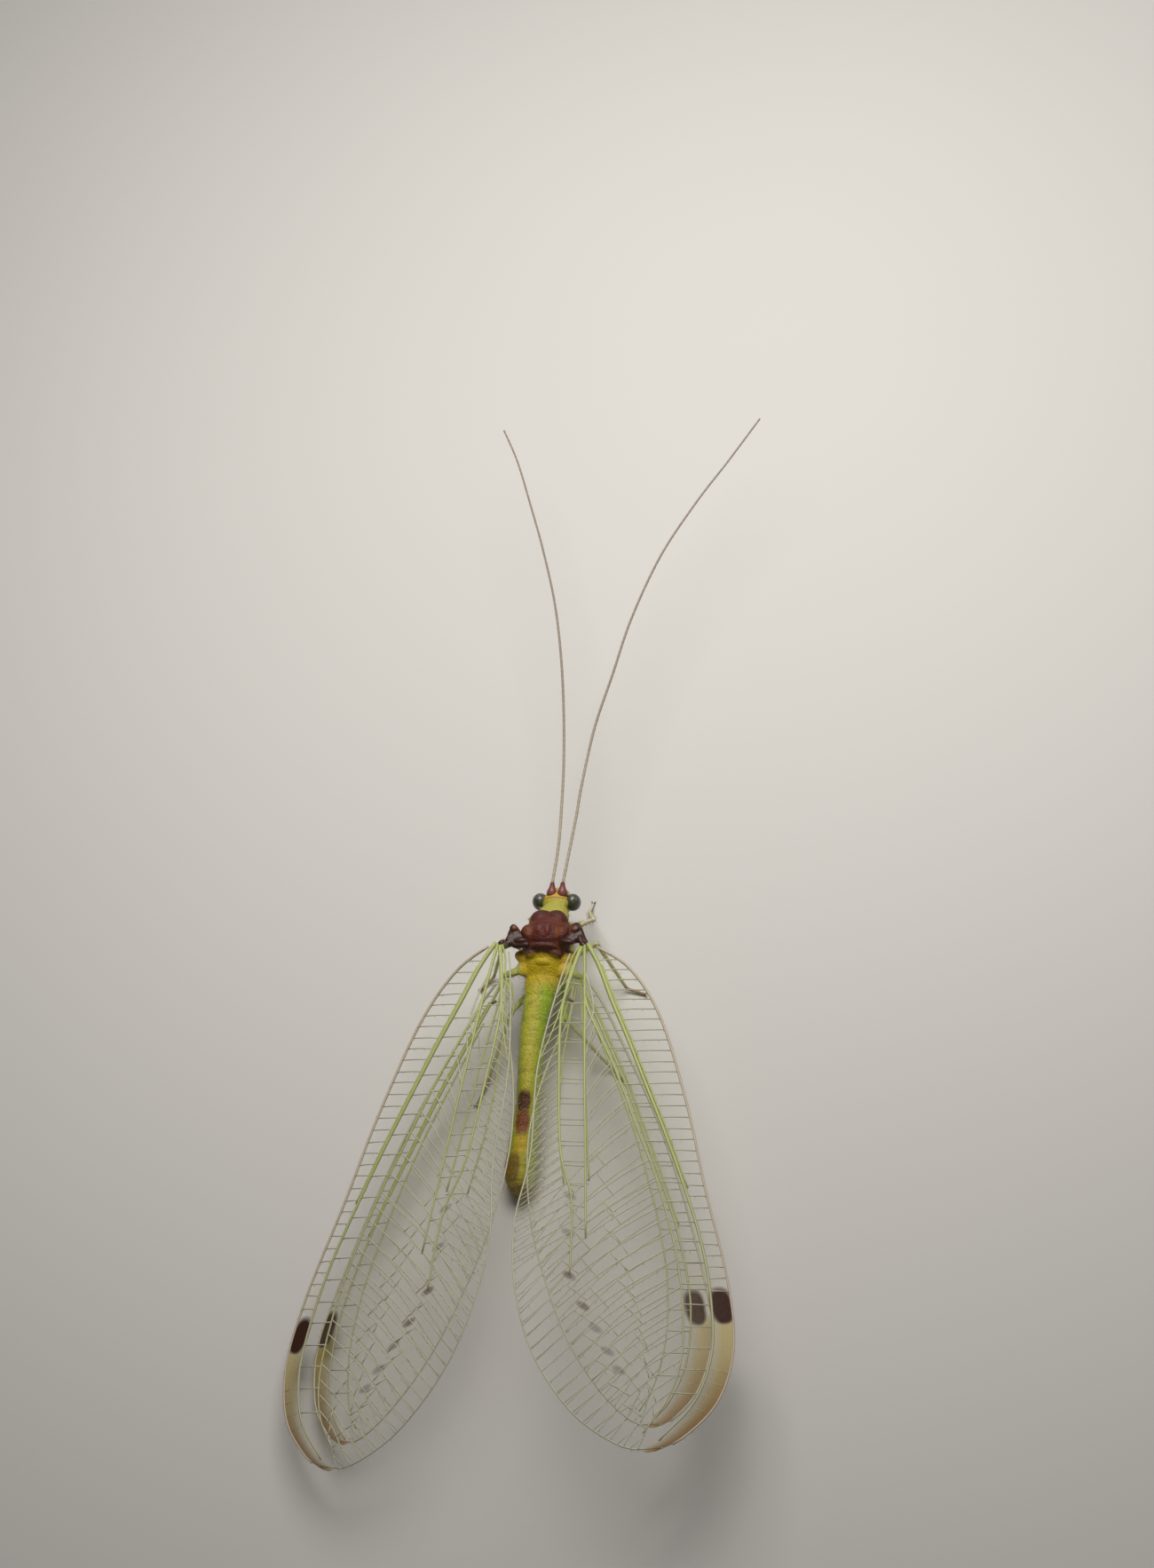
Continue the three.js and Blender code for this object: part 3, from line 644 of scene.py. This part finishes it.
# Each table runs along the wing from its root: places along it and towards its front edge.
GREEN, FINE, EDGE, DARK = range(4)  # the places of the veins' finishes
WINGS = {
    "forewing": {
        "length": 19.0,
        "camber": 0.3,
        "root": (1.505, 0.0, 3.0),
        "front": [
            (0, 0.25), (1.2, 1.38), (3.3, 2.1), (6.8, 2.43), (10, 2.5),
            (13.3, 2.65), (15.8, 2.46), (17.6, 1.66), (18.65, 0.4), (19, -0.55),
        ],
        "back": [
            (0, -0.4), (1.5, -1.1), (4.6, -2.25), (7.9, -2.95), (10.3, -3.8),
            (12.6, -4.1), (15, -3.88), (17.2, -2.98), (18.5, -1.8), (19, -0.8),
        ],
        "radius": [(0, 0.12), (1, 0.36), (2.5, 0.58), (4, 0.86), (6, 1.2), (8, 1.55),
                   (10, 1.84), (12, 2.04), (14, 2.02), (16, 1.72), (17.6, 0.9), (18.7, -0.4)],
        "sector": [(2.2, -0.3), (2.8, -0.26), (4, 0.0), (5, 0.22), (6, 0.4), (7.7, 0.66), (9.6, 0.98),
                   (12, 1.16), (14, 1.1), (16, 0.76), (17.4, 0.1), (18.4, -0.85)],
        "inner": [(0.05, 0.0), (2.7, -0.38), (5, -0.72), (8, -1.14), (11.4, -1.62), (12.6, -1.2),
                  (13.9, -0.84), (15.2, -0.5), (16.4, -0.4)],
        "outer": [(0.1, -0.1), (1.2, -0.62), (2.7, -1.18), (5, -1.58), (8, -1.96), (9.7, -1.86), (11, -2.02),
                  (12.6, -2.32), (13.7, -2.06), (14.6, -1.78), (15.4, -1.52), (16.4, -1.25)],
        "stigma": (14.55, 2.27),
        "stigma_width": 0.34,
        "stigma_tint": tint(60, 36, 26),
        "marks": [(9.76, -1.9), (11.1, -2.15), (12.63, -2.34), (13.78, -2.06), (14.65, -1.78),
                  (15.5, -1.52), (16.2, -1.28)],
        "rung_step": 0.43,
        "stout": 0.085,
        "front_finish": EDGE,
    },
    "hindwing": {
        "length": 17.0,
        "camber": 0.2,
        "root": (1.305, -0.9, 2.2),
        "front": [
            (0, 0.2), (1, 0.6), (3, 1.1), (6, 1.75), (9, 2.12),
            (12, 2.3), (14, 2.25), (15.8, 1.55), (16.75, 0.6), (17, -0.05),
        ],
        "back": [
            (0, -0.25), (1.5, -0.6), (3.5, -1.7), (6, -2.6), (9, -2.95),
            (11.8, -2.72), (13.8, -2.3), (15.5, -1.6), (16.6, -0.85), (17, -0.2),
        ],
        "radius": [(0, 0.06), (1, 0.2), (3, 0.62), (4.5, 0.92), (6, 1.14), (8, 1.44), (10, 1.7),
                   (12, 1.76), (13.4, 1.64), (15, 1.22), (16.2, 0.5), (16.8, -0.2)],
        "sector": [(1.8, 0.2), (4, 0.55), (6, 0.86), (8, 1.06), (10, 1.16), (12, 1.1),
                   (14, 0.75), (15.6, 0.1), (16.4, -0.5)],
        "inner": [(0.05, 0.0), (3, -0.3), (5.5, -0.6), (8, -0.86), (10, -0.95), (11.5, -0.62),
                  (13, -0.34), (14.4, -0.3)],
        "outer": [(0.1, -0.1), (3, -1.0), (5.5, -1.5), (8, -1.7), (10, -1.55), (11.5, -1.3),
                  (13, -1.02), (14.4, -0.86)],
        "stigma": (13.2, 1.98),
        "stigma_width": 0.31,
        "stigma_tint": tint(54, 22, 12),
        "marks": [],
        "rung_step": 0.46,
        "stout": 0.055,
        "front_finish": FINE,
    },
}
WING_POSE = {
    "left": (-1, math.radians(12.7), math.radians(4.3), math.radians(19.0)),
    "right": (1, math.radians(16.0), math.radians(-4.0), math.radians(10.0)),
}


class WingShape:
    """One wing: from u along it and v towards its front edge to a point of the animal."""

    def __init__(self, kind, name):
        self.facts = WINGS[kind]
        side, spread, droop, roof = WING_POSE[name]
        flat = math.cos(droop)
        self.along = Vector((side * math.sin(spread) * flat, -math.cos(spread) * flat, -math.sin(droop)))
        level = Vector((side * math.cos(spread), math.sin(spread), 0))
        upright = side * level.cross(self.along)
        upright = upright if upright.z > 0 else -upright
        self.across = math.cos(roof) * level - math.sin(roof) * upright
        self.normal = self.across.cross(self.along).normalized()
        self.normal = self.normal if self.normal.z > 0 else -self.normal
        x, y, z = self.facts["root"]
        self.base = Vector((side * x, y, z))
        self.front = self.even_points(self.facts["front"])
        self.back = self.even_points(self.facts["back"])

    def even_points(self, knots, count=400):
        dense = np.array([tuple(p)[:2] for p in curve_through([(*k, 0) for k in knots], 60)])
        lengths = np.concatenate([[0], np.cumsum(np.hypot(*np.diff(dense, axis=0).T))])
        even = np.linspace(0, lengths[-1], count)
        return np.stack([np.interp(even, lengths, dense[:, i]) for i in (0, 1)], 1)

    def edge(self, line, u):
        return float(np.interp(u, line[:, 0], line[:, 1]))

    def line(self, name, u):
        table = self.facts[name]
        return float(np.interp(u, [p[0] for p in table], [p[1] for p in table]))

    def arch(self, u, v):
        front, back = self.edge(self.front, u), self.edge(self.back, u)
        chord = max(front - back, 0.05)
        share = min(max((v - back) / chord, 0), 1)
        return self.facts["camber"] * min(chord / 5, 1) * (1 - (2 * share - 1) ** 2)

    def point(self, u, v):
        u, v = float(u), float(v)
        at = self.base + u * self.along + v * self.across
        return at + self.arch(u, v) * self.normal


MAP_SPAN = 20  # millimetres of a wing for one unit of the film's map
DEPTH_SPAN = 5


def film_finish(kind, facts):
    """The clear film of a wing, with its spots; its u and v come from the mesh's own map."""
    finish = Finish(f"{kind}_film", Specular_IOR_Level=0.1, Roughness=0.4)
    map_u, map_v, _ = finish.parts(finish.node("ShaderNodeUVMap", {"uv_map": "wing"}))
    u, v = map_u * MAP_SPAN, map_v * MAP_SPAN - MAP_SPAN / 2
    depth, _, _ = finish.parts(finish.node("ShaderNodeUVMap", {"uv_map": "depth"}))
    from_front = depth * DEPTH_SPAN
    clouds = finish.mottle(1.3)
    ripple = finish.mottle(6.0, 2.0)
    colour = finish.mix(clouds, tint(226, 218, 182), tint(210, 204, 168))
    colour = finish.mix((u / 5).between(0.0, 1.0), tint(204, 206, 140), colour)
    # The ochre band beyond the spot hugs the front edge and browns towards the tip.
    spot_u, spot_v = facts["stigma"]
    tip = (u - facts["length"]).between(-3.6, -0.3)
    band = (1 - from_front.between(0.3, 0.8)) * (u - spot_u).between(0.1, 0.7)
    before = (1 - from_front.between(0.3, 0.9)) * (u - spot_u).between(-3.0, 0.0)
    ochre = finish.mix(tip, tint(178, 154, 26), tint(162, 132, 48))
    brown_rim = (1 - from_front.between(0.1, 0.55)) * tip
    # The dark spot, then the row of slanting stains.
    spot = abs((u - spot_u) / 0.58) ** 2.6 + abs((v - spot_v) / facts["stigma_width"]) ** 2.6
    spot = 1 - spot.between(0.0, 1.9)
    colour = finish.coated(
        colour,
        (before * 0.8, tint(186, 168, 84)),
        (band.between(0.0, 0.4), ochre),
        (brown_rim * 0.8, tint(138, 98, 48)),
        (spot.between(0.0, 0.25), facts["stigma_tint"]),
    )
    alpha = 0.03 + ripple * 0.055 + before * 0.1 + band * 0.4 + brown_rim * 0.25 + spot * 1.15
    for mark_u, mark_v in facts["marks"]:
        off_u, off_v = u - mark_u, v - mark_v
        stain = abs((off_u + off_v) / 0.34) ** 2 + abs((off_u - off_v) / 0.17) ** 2
        stain = 1 - stain.between(0.0, 1.6)
        strength = 0.62 if 12 < mark_u < 14 else 0.36
        colour = finish.mix(stain.between(0.0, 0.25), colour, tint(86, 64, 48))
        alpha = alpha + stain * strength
    finish.feed(Base_Color=colour, Alpha=alpha)
    finish.raise_by(ripple, 0.000008)
    return finish


green_vein = Finish("vein_green", Roughness=0.42)
vein_cloud = green_vein.mottle(1.6)
_, vein_y, _ = green_vein.animal_place()
vein_colour = green_vein.mix(vein_cloud, tint(176, 180, 112), tint(164, 172, 100))
vein_colour = green_vein.mix((vein_y + 9).between(-6.0, 3.0), tint(170, 166, 128), vein_colour)
green_vein.feed(Base_Color=vein_colour)
vein_finishes = [
    green_vein,
    two_tone("vein_fine", 0.7, tint(196, 194, 164), tint(178, 172, 148), Roughness=0.5),
    two_tone("vein_edge", 1.1, tint(190, 166, 150), tint(180, 172, 142), Roughness=0.45),
    two_tone("vein_dark", 3.0, tint(88, 72, 60), tint(112, 96, 80), Roughness=0.5),
]
for finish in vein_finishes:
    finish.raise_by(finish.mottle(12), 0.00001)


def curve_uv(knots, steps=6):
    """A smooth curve through points of a wing."""
    return [tuple(p)[:2] for p in curve_through([(*k, 0) for k in knots], steps)]


def long_veins(shape):
    """The edges of a wing, then the stout veins along it."""
    facts = shape.facts
    stout = facts["stout"]
    beside_radius = [(u, v + 0.1) for u, v in facts["radius"][1:7]]
    return [
        ([tuple(p) for p in shape.front[4:-6:6]], 0.05, 0.035, facts["front_finish"]),
        ([tuple(p) for p in shape.back[6:-4:6]] + [tuple(shape.front[-6])], 0.028, 0.026, FINE),
        (curve_uv(facts["radius"]), stout, 0.03, GREEN),
        (curve_uv(beside_radius), 0.036, 0.026, GREEN),
        (curve_uv(facts["sector"]), stout * 0.65, 0.024, GREEN),
        (curve_uv(facts["inner"][:-4]), stout * 0.65, 0.032, GREEN),
        (curve_uv(facts["outer"][:-4]), stout * 0.65, 0.032, GREEN),
    ]


VEIN_SEED = 8


def rungs(shape):
    """The rungs between the long veins, and the branches that run on to the back edge."""
    facts = shape.facts
    length = facts["length"]
    radius, sector, inner, outer = [partial(shape.line, n) for n in ("radius", "sector", "inner", "outer")]
    front, back = partial(shape.edge, shape.front), partial(shape.edge, shape.back)
    fork_u = facts["sector"][0][0]
    turn_u = facts["inner"][-5][0]
    chance = random.Random(VEIN_SEED)
    found = []

    def add(path, thick, thin):
        found.append((path, thick, thin, FINE))

    def uneven(step, share):
        return step * (1 + chance.uniform(-share, share))

    # From the radius to the front edge, as far as the dark spot.
    u = 0.75
    while u < facts["stigma"][0] - 0.35:
        lean = 0.06 + chance.uniform(-0.03, 0.03)
        foot, top = radius(u), front(u + lean)
        add([(u, foot), (u + 0.3 * lean, 0.6 * foot + 0.4 * top), (u + lean, top)], 0.022, 0.018)
        u += uneven(facts["rung_step"], 0.08)
    # Beyond the spot they are short and slant more.
    u = facts["stigma"][0] + 1.9
    while u < length - 0.9:
        add([(u, radius(u)), (u + 0.3, front(u + 0.3))], 0.014, 0.012)
        u += 0.42
    # From the sector to the radius.
    u = fork_u + 0.7
    while u < length - 1.6:
        add([(u, sector(u)), (u + 0.12, radius(u + 0.12))], 0.024, 0.02)
        u += uneven(0.76, 0.05)
    # Slanting branches from the sector to the inner long vein, in the near half of the wing.
    u = fork_u + 0.4
    while u < turn_u - 1.6:
        end = u + 1.25
        path = [(u, sector(u)), (u + 0.5, 0.55 * sector(u) + 0.45 * inner(end)), (end, inner(end))]
        add(curve_uv(path), 0.022, 0.018)
        u += 0.78
    # Between the inner and the outer long veins.
    u = 1.5
    while u < turn_u:
        add([(u, outer(u)), (u + 0.2, inner(u + 0.2))], 0.02, 0.018)
        u += uneven(0.8, 0.06)
    # From the outer long vein to the back edge, each with a fork but for those near the root.
    u = 1.3
    while u < turn_u:
        run = 0.25 + 0.055 * u
        end_u = min(u + run, length - 0.4)
        start, end = (u, outer(u)), (end_u, back(end_u))
        if u < length * 0.28:
            add(curve_uv([start, end]), 0.02, 0.014)
        else:
            split = (start[0] * 0.5 + end[0] * 0.5, start[1] * 0.5 + end[1] * 0.5)
            add(curve_uv([start, split]), 0.02, 0.016)
            for away in (-0.12, 0.16):
                foot_u = min(end_u + away, length - 0.3)
                add(curve_uv([split, (foot_u, back(foot_u))]), 0.016, 0.013)
        u += uneven(0.36, 0.06)
    return found


RAYS = 17


def fan(shape):
    """The rays from the sector to the tip of the wing, with their forks and two rows of stepped rungs."""
    length = shape.facts["length"]
    turn_u = shape.facts["inner"][-5][0]
    first_u = turn_u - 1.9
    rim = shape.back[shape.back[:, 0] > turn_u + 1.0]

    def on_rim(share):
        return rim[int((0.02 + share) * (len(rim) - 1))]

    rays = []
    for j in range(RAYS):
        u = first_u + (length - 1.3 - first_u) * j / (RAYS - 1)
        start = np.array([u, shape.line("sector", u)])
        end = on_rim(0.94 * j / (RAYS - 1))
        bend = start * 0.5 + end * 0.5 + np.array([-0.25, 0.1])
        rays.append(curve_uv([tuple(start), tuple(bend), tuple(end)], 12))
    found = []
    for j, ray in enumerate(rays):
        fork = [ray[19], tuple(on_rim(0.94 * (j + 0.45) / RAYS))]
        found += [(ray[:20], 0.021, 0.017, FINE), (ray[19:], 0.016, 0.013, FINE), (fork, 0.016, 0.012, FINE)]
    for step in (9, 16):
        for j, (near, far) in enumerate(zip(rays, rays[1:])):
            found.append(([near[step + j % 2], far[step - 1 + j % 2]], 0.018, 0.018, FINE))
    return found


def root_veins(shape):
    """The veins behind the root; the forewing also has a loop and a dark knot there."""
    back = partial(shape.edge, shape.back)
    behind = [(0.08, -0.15), (1.3, -0.72), (2.3, -1.1), (3.4, -1.62), (4.4, back(4.4))]
    last = [(0.06, -0.2), (0.5, -0.5), (1.2, -0.8), (1.9, back(1.9))]
    found = [(curve_uv(behind), 0.04, 0.02, GREEN), (curve_uv(last), 0.035, 0.02, GREEN)]
    if shape.facts["marks"]:
        loop = [(1.2, -0.15), (2.0, -0.06), (2.9, -0.12), (3.6, -0.5)]
        knot = [(2.18, -0.84), (2.3, -0.72)]
        found += [(curve_uv(loop), 0.03, 0.03, FINE), (knot, 0.06, 0.05, DARK)]
    return found


ALONG_STEPS, ACROSS_STEPS = 70, 26


def film_body(shape, shift):
    """A film's points and faces, and for each point its place on the two maps."""
    points, places, depths = [], [], []
    for i in range(ALONG_STEPS + 1):
        k = int(i / ALONG_STEPS * (len(shape.front) - 1))
        front, back = shape.front[k], shape.back[k]
        chord = float(np.hypot(*(front - back)))
        for j in range(ACROSS_STEPS + 1):
            u, v = [float(c) for c in back + (front - back) * j / ACROSS_STEPS]
            near_spot = min(max(v - 0.2, 0.0), 1.0)
            spot_u, spot_v = u + shift[0] * near_spot, v + shift[1] * near_spot
            points.append(shape.point(u, v))
            places.append((spot_u / MAP_SPAN, spot_v / MAP_SPAN + 0.5))
            depths.append((chord * (1 - j / ACROSS_STEPS) / DEPTH_SPAN, 0))
    wide = ACROSS_STEPS + 1
    firsts = [i * wide + j for i in range(ALONG_STEPS) for j in range(ACROSS_STEPS)]
    faces = [(a, a + 1, a + 1 + wide, a + wide) for a in firsts]
    return points, faces, places, depths


def add_map(piece, name, places):
    """A map on the mesh, from a place for each of its points."""
    layer = piece.data.uv_layers.new(name=name)
    for loop in piece.data.loops:
        layer.data[loop.index].uv = places[loop.vertex_index]


film_finishes = {kind: film_finish(kind, facts) for kind, facts in WINGS.items()}
wings = {}
# No two wings carry their spots at quite the same place.
SPOT_SHIFTS = {
    ("forewing", "left"): (-0.22, 0.0),
    ("forewing", "right"): (0.2, -0.03),
    ("hindwing", "left"): (-0.08, -0.14),
    ("hindwing", "right"): (0.14, 0.16),
}
for (kind, name), shift in SPOT_SHIFTS.items():
    shape = WingShape(kind, name)
    points, faces, places, depths = film_body(shape, shift)
    film = add_piece(f"{kind}_film_{name}", (points, faces), [film_finishes[kind]])
    add_map(film, "depth", depths)
    add_map(film, "wing", places)
    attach(film, "root")
    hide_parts(f"{kind}_{name}")
    # The veins stand a little proud of the film on both of its faces.
    vein_paths = [*long_veins(shape), *rungs(shape), *fan(shape), *root_veins(shape)]
    wings[kind, name] = (shape, vein_paths)
    bodies, which = [], []
    for path, thick, thin, colour in vein_paths:
        line = [shape.point(u, v) for u, v in path]
        radii = [thick + (thin - thick) * i / (len(line) - 1) for i in range(len(line))]
        bodies.append(tube(line, radii, 6))
        which += [colour] * len(bodies[-1][1])
    veins = add_piece(f"{kind}_veins_{name}", joined(bodies), vein_finishes, which=which)
    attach(veins, "root")

# The hinges of the wings.
# Hard black-brown plates join each forewing to the side of the thorax, with a paler brown lobe in
# front. They are knobbly shell, thicker than the veins that start from them.


def plate(outline, level, rise, sink):
    """A plate of shell with a rounded rim, thickest in its middle, from its outline seen from above."""
    rim = curve_through([(*outline[i % len(outline)], 0) for i in range(len(outline) + 1)], 6)[:-1]
    middle = sum(rim, Vector()) / len(rim)
    rings = []
    for a in range(1, 12):
        turn = math.pi * a / 12
        lift = Vector((0, 0, level + math.cos(turn) * (rise if a < 6 else sink)))
        rings.append([middle + (p - middle) * math.sin(turn) ** 0.6 + lift for p in rim])
    return ring_body(rings)


hinge_finish = Finish("hinge", Roughness=0.36, Specular_IOR_Level=0.3)
hinge_x, hinge_y, _ = hinge_finish.animal_place()
hinge_cloud = hinge_finish.mottle(3.5)
hinge_dark = hinge_finish.mix(hinge_cloud, tint(44, 26, 22), tint(74, 44, 34))
hinge_side = abs(hinge_x - 0.05)
hinge_lobe = (hinge_y - 0.46).near(0.12, 0.24) * (1 - abs(hinge_side - 0.94).between(0.12, 0.24))
hinge_finish.feed(Base_Color=hinge_finish.mix(hinge_lobe * 0.85, hinge_dark, tint(112, 66, 42)))
hinge_finish.raise_by(hinge_cloud, 0.00003)
HINGE_OUTLINES = {
    "left": [
        (-1.46, -0.2), (-1.3, 0.14), (-1.24, 0.48), (-1.14, 0.66), (-0.95, 0.68), (-0.8, 0.5),
        (-0.55, 0.24), (-0.45, -0.06), (-0.9, -0.15), (-1.1, -0.08), (-1.3, -0.18),
    ],
    "right": [
        (0.6, 0.08), (0.84, 0.4), (0.9, 0.72), (1.04, 0.86), (1.2, 0.86), (1.35, 0.66),
        (1.52, 0.3), (1.66, 0.04), (1.46, 0.06), (1.24, 0.12), (1.0, 0.03), (0.66, -0.04),
    ],
}
LOBE_OUTLINE = [(0.86, 0.5), (0.96, 0.68), (1.1, 0.72), (1.2, 0.56), (1.04, 0.42)]
HINGE_SIDES = {"left": (-1, 0.0), "right": (1, 0.1)}  # side, and how far the lobe lies to the right
for name, (side, shift) in HINGE_SIDES.items():
    lumps = [
        plate(HINGE_OUTLINES[name], 2.96, 0.11, 0.2),
        plate([(side * x + shift, y) for x, y in LOBE_OUTLINE], 3.02, 0.13, 0.1),
        egg((side * 0.82 + 0.06, 0.1, 3.02), (0.26, 0.1, 0.1), side * -0.12),
        egg((side * 1.26 + 0.08, 0.2, 3.0), (0.1, 0.2, 0.1), side * 0.3),
        egg((side * 1.44 + 0.02, 0.0, 2.98), (0.17, 0.12, 0.13), side * -0.9),
    ]
    hinge = add_piece(f"wing_hinge_{name}", merged(lumps, 0.025, 3), [hinge_finish])
    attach(hinge, "root")

# The hairs.
# Short pale hairs stand on the neck, the abdomen and the legs, and dark ones along the veins.
# Each is a thin spike with three sides that droops a little, its root in the surface.

hair_finish = two_tone("hair", 2.0, tint(196, 190, 150), tint(160, 148, 116), Roughness=0.55)
bristle_finish = two_tone("bristle", 2.0, tint(104, 92, 76), tint(140, 130, 108), Roughness=0.5)
HAIR_RADIUS = 0.006
HAIR_PATCH = 0.003
# Three points round the root, three at the bend and one at the tip.
HAIR_FACES = [(0, 1, 4, 3), (1, 2, 5, 4), (2, 0, 3, 5), (3, 4, 6), (4, 5, 6), (5, 3, 6)]


def hair_piece(name, hairs, finish):
    """hairs: root, way and length in millimetres, and the root's place on the unwrap."""
    points, faces, patches = [], [], []
    for base, way, reach, place in hairs:
        side = way.cross(Vector((0.3, 0.2, 0.93))).normalized()
        up = way.cross(side).normalized()
        droop = Vector((0, 0, -0.12 * reach))
        faces += [tuple(len(points) + i for i in face) for face in HAIR_FACES]
        patches += [place] * len(HAIR_FACES)
        for share, width in ((0.0, 1.0), (0.55, 0.7)):
            middle = base + way * reach * share + droop * share**2
            for a in round_angles(3):
                points.append(middle + HAIR_RADIUS * width * (math.cos(a) * side + math.sin(a) * up))
        points.append(base + way * reach + droop)
    piece = add_piece(name, (points, faces), [finish])
    layer = piece.data.uv_layers.new(name="OFBake")
    corners = ((0, 0), (HAIR_PATCH, 0), (HAIR_PATCH, HAIR_PATCH), (0, HAIR_PATCH))
    for polygon, place in zip(piece.data.polygons, patches):
        for corner, loop in zip(corners, polygon.loop_indices):
            layer.data[loop].uv = (place[0] + corner[0], place[1] + corner[1])
    return piece


HAIR_TRIES = 5200
FACE = Vector((HEAD_X, 2.3, 2.1))
chance = random.Random(7)
polygons = skin.data.polygons
areas = np.zeros(len(polygons))
polygons.foreach_get("area", areas)
area_shares = np.cumsum(areas) / areas.sum()
body_hairs = []
for _ in range(HAIR_TRIES):
    polygon = polygons[int(np.searchsorted(area_shares, chance.random()))]
    centre, normal = polygon.center, polygon.normal
    x, y, z = [c * MILLIMETRES for c in centre]
    base = Vector((ORIGIN_X - x, ORIGIN_Y - y, z))
    out_way = Vector((-normal.x, -normal.y, normal.z))
    # The plates of the back, the face and what lies near the ground are bare.
    bare_back = base.z > 2.2 and -0.8 < base.y < 1.6
    if bare_back or base.z < 0.32 or (base - FACE).length < 0.75:
        continue
    lie = Vector((0, -0.9, 0.0)) if abs(base.x) < 0.9 else Vector((0, 0, -0.6))
    stray = Vector([chance.uniform(-0.15, 0.15) for _ in range(3)])
    way = (out_way + lie * 0.8 + stray).normalized()
    reach = chance.uniform(0.1, 0.2)
    # The unwrap goes round the body across and along it upwards.
    turn = math.atan2(base.x, base.z - 1.8) / (2 * math.pi) + 0.5
    place = (0.01 + 0.97 * turn, 0.01 + 0.97 * (base.y + 8.6) / 12.2)
    body_hairs.append((base - out_way * 0.01, way, reach, place))
coat = hair_piece("body_hairs", body_hairs, hair_finish)
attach(coat, "root")

for (kind, name), (shape, vein_paths) in wings.items():
    chance = random.Random(11)
    hairs = []
    for path, _, _, _ in vein_paths:
        for a, b in zip(path, path[1:]):
            span = math.hypot(b[0] - a[0], b[1] - a[1])
            if chance.random() > span / 0.2:
                continue
            t = chance.random()
            u, v = a[0] + (b[0] - a[0]) * t, a[1] + (b[1] - a[1]) * t
            face = chance.choice((-1, 1))
            lean = shape.along * 0.7 + shape.across * chance.uniform(-0.4, 0.4)
            way = (shape.normal * face + lean).normalized()
            place = (0.01 + 0.97 * u / 20, 0.01 + 0.97 * (v + 5) / 10)
            hairs.append((shape.point(u, v), way, chance.uniform(0.1, 0.17), place))
    fringe = hair_piece(f"{kind}_bristles_{name}", hairs, bristle_finish)
    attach(fringe, "root")

# The floor, the light and the camera.
# A plain pale floor, a soft round panel close over the head whose light fades towards the wing tips,
# a large faint panel to the side, and the camera behind and above the animal, towards its right.

floor_finish = two_tone(
    "floor", 0.02, tint(206, 203, 197), tint(200, 196, 190), Roughness=0.85, Specular_IOR_Level=0.2
)
FLOOR_HALF = 500
FLOOR_SIGNS = ((-1, -1), (1, -1), (1, 1), (-1, 1))
floor_corners = [(ORIGIN_X - x * FLOOR_HALF, ORIGIN_Y - y * FLOOR_HALF, 0) for x, y in FLOOR_SIGNS]
floor = add_piece("floor", (floor_corners, [(0, 1, 2, 3)]), [floor_finish], smooth=False)


def add_panel(name, place, aim, size, watts, colour):
    light = bpy.data.lights.new(name, "AREA")
    light.shape = "DISK"
    light.size = size
    light.energy = watts
    light.color = colour
    lamp = bpy.data.objects.new(name, light)
    bpy.context.scene.collection.objects.link(lamp)
    lamp.location = place
    lamp.visible_camera = False
    lamp.rotation_euler = (Vector(aim) - Vector(place)).to_track_quat("-Z", "Y").to_euler()


add_panel("sky_panel", (-0.0035, -0.027, 0.056), (-0.0025, -0.02, 0), 0.05, 0.0455, (1.0, 0.985, 0.965))
add_panel("fill_panel", (-0.3, 0.1, 0.25), (0, 0, 0), 0.4, 0.06, (0.96, 0.98, 1.0))
world = bpy.data.worlds.new("room")
world.use_nodes = True
room_light = world.node_tree.nodes["Background"]
room_light.inputs["Color"].default_value = (0.9, 0.92, 0.95, 1)
room_light.inputs["Strength"].default_value = 0.07
bpy.context.scene.world = world
bpy.context.scene.view_settings.view_transform = "Standard"

CAMERA_AT = (27.481, -53.993, 106.735)  # in the animal's millimetres
# The ways to the picture's right and up are in the row frame.
CAMERA_RIGHT = Vector((-0.9756, -0.1167, -0.186)).normalized()
CAMERA_UP = Vector((0.0072, -0.8635, 0.5042)).normalized()
camera_data = bpy.data.cameras.new("camera")
camera_data.lens = 80.41
camera_data.sensor_width = 36
camera_data.clip_start = 0.005
camera_data.clip_end = 5
camera = bpy.data.objects.new("camera", camera_data)
bpy.context.scene.collection.objects.link(camera)
look_back = CAMERA_RIGHT.cross(CAMERA_UP)
columns = zip(CAMERA_RIGHT, CAMERA_UP, look_back, row(CAMERA_AT))
camera.matrix_world = Matrix([*columns, (0, 0, 0, 1)])
bpy.context.scene.camera = camera
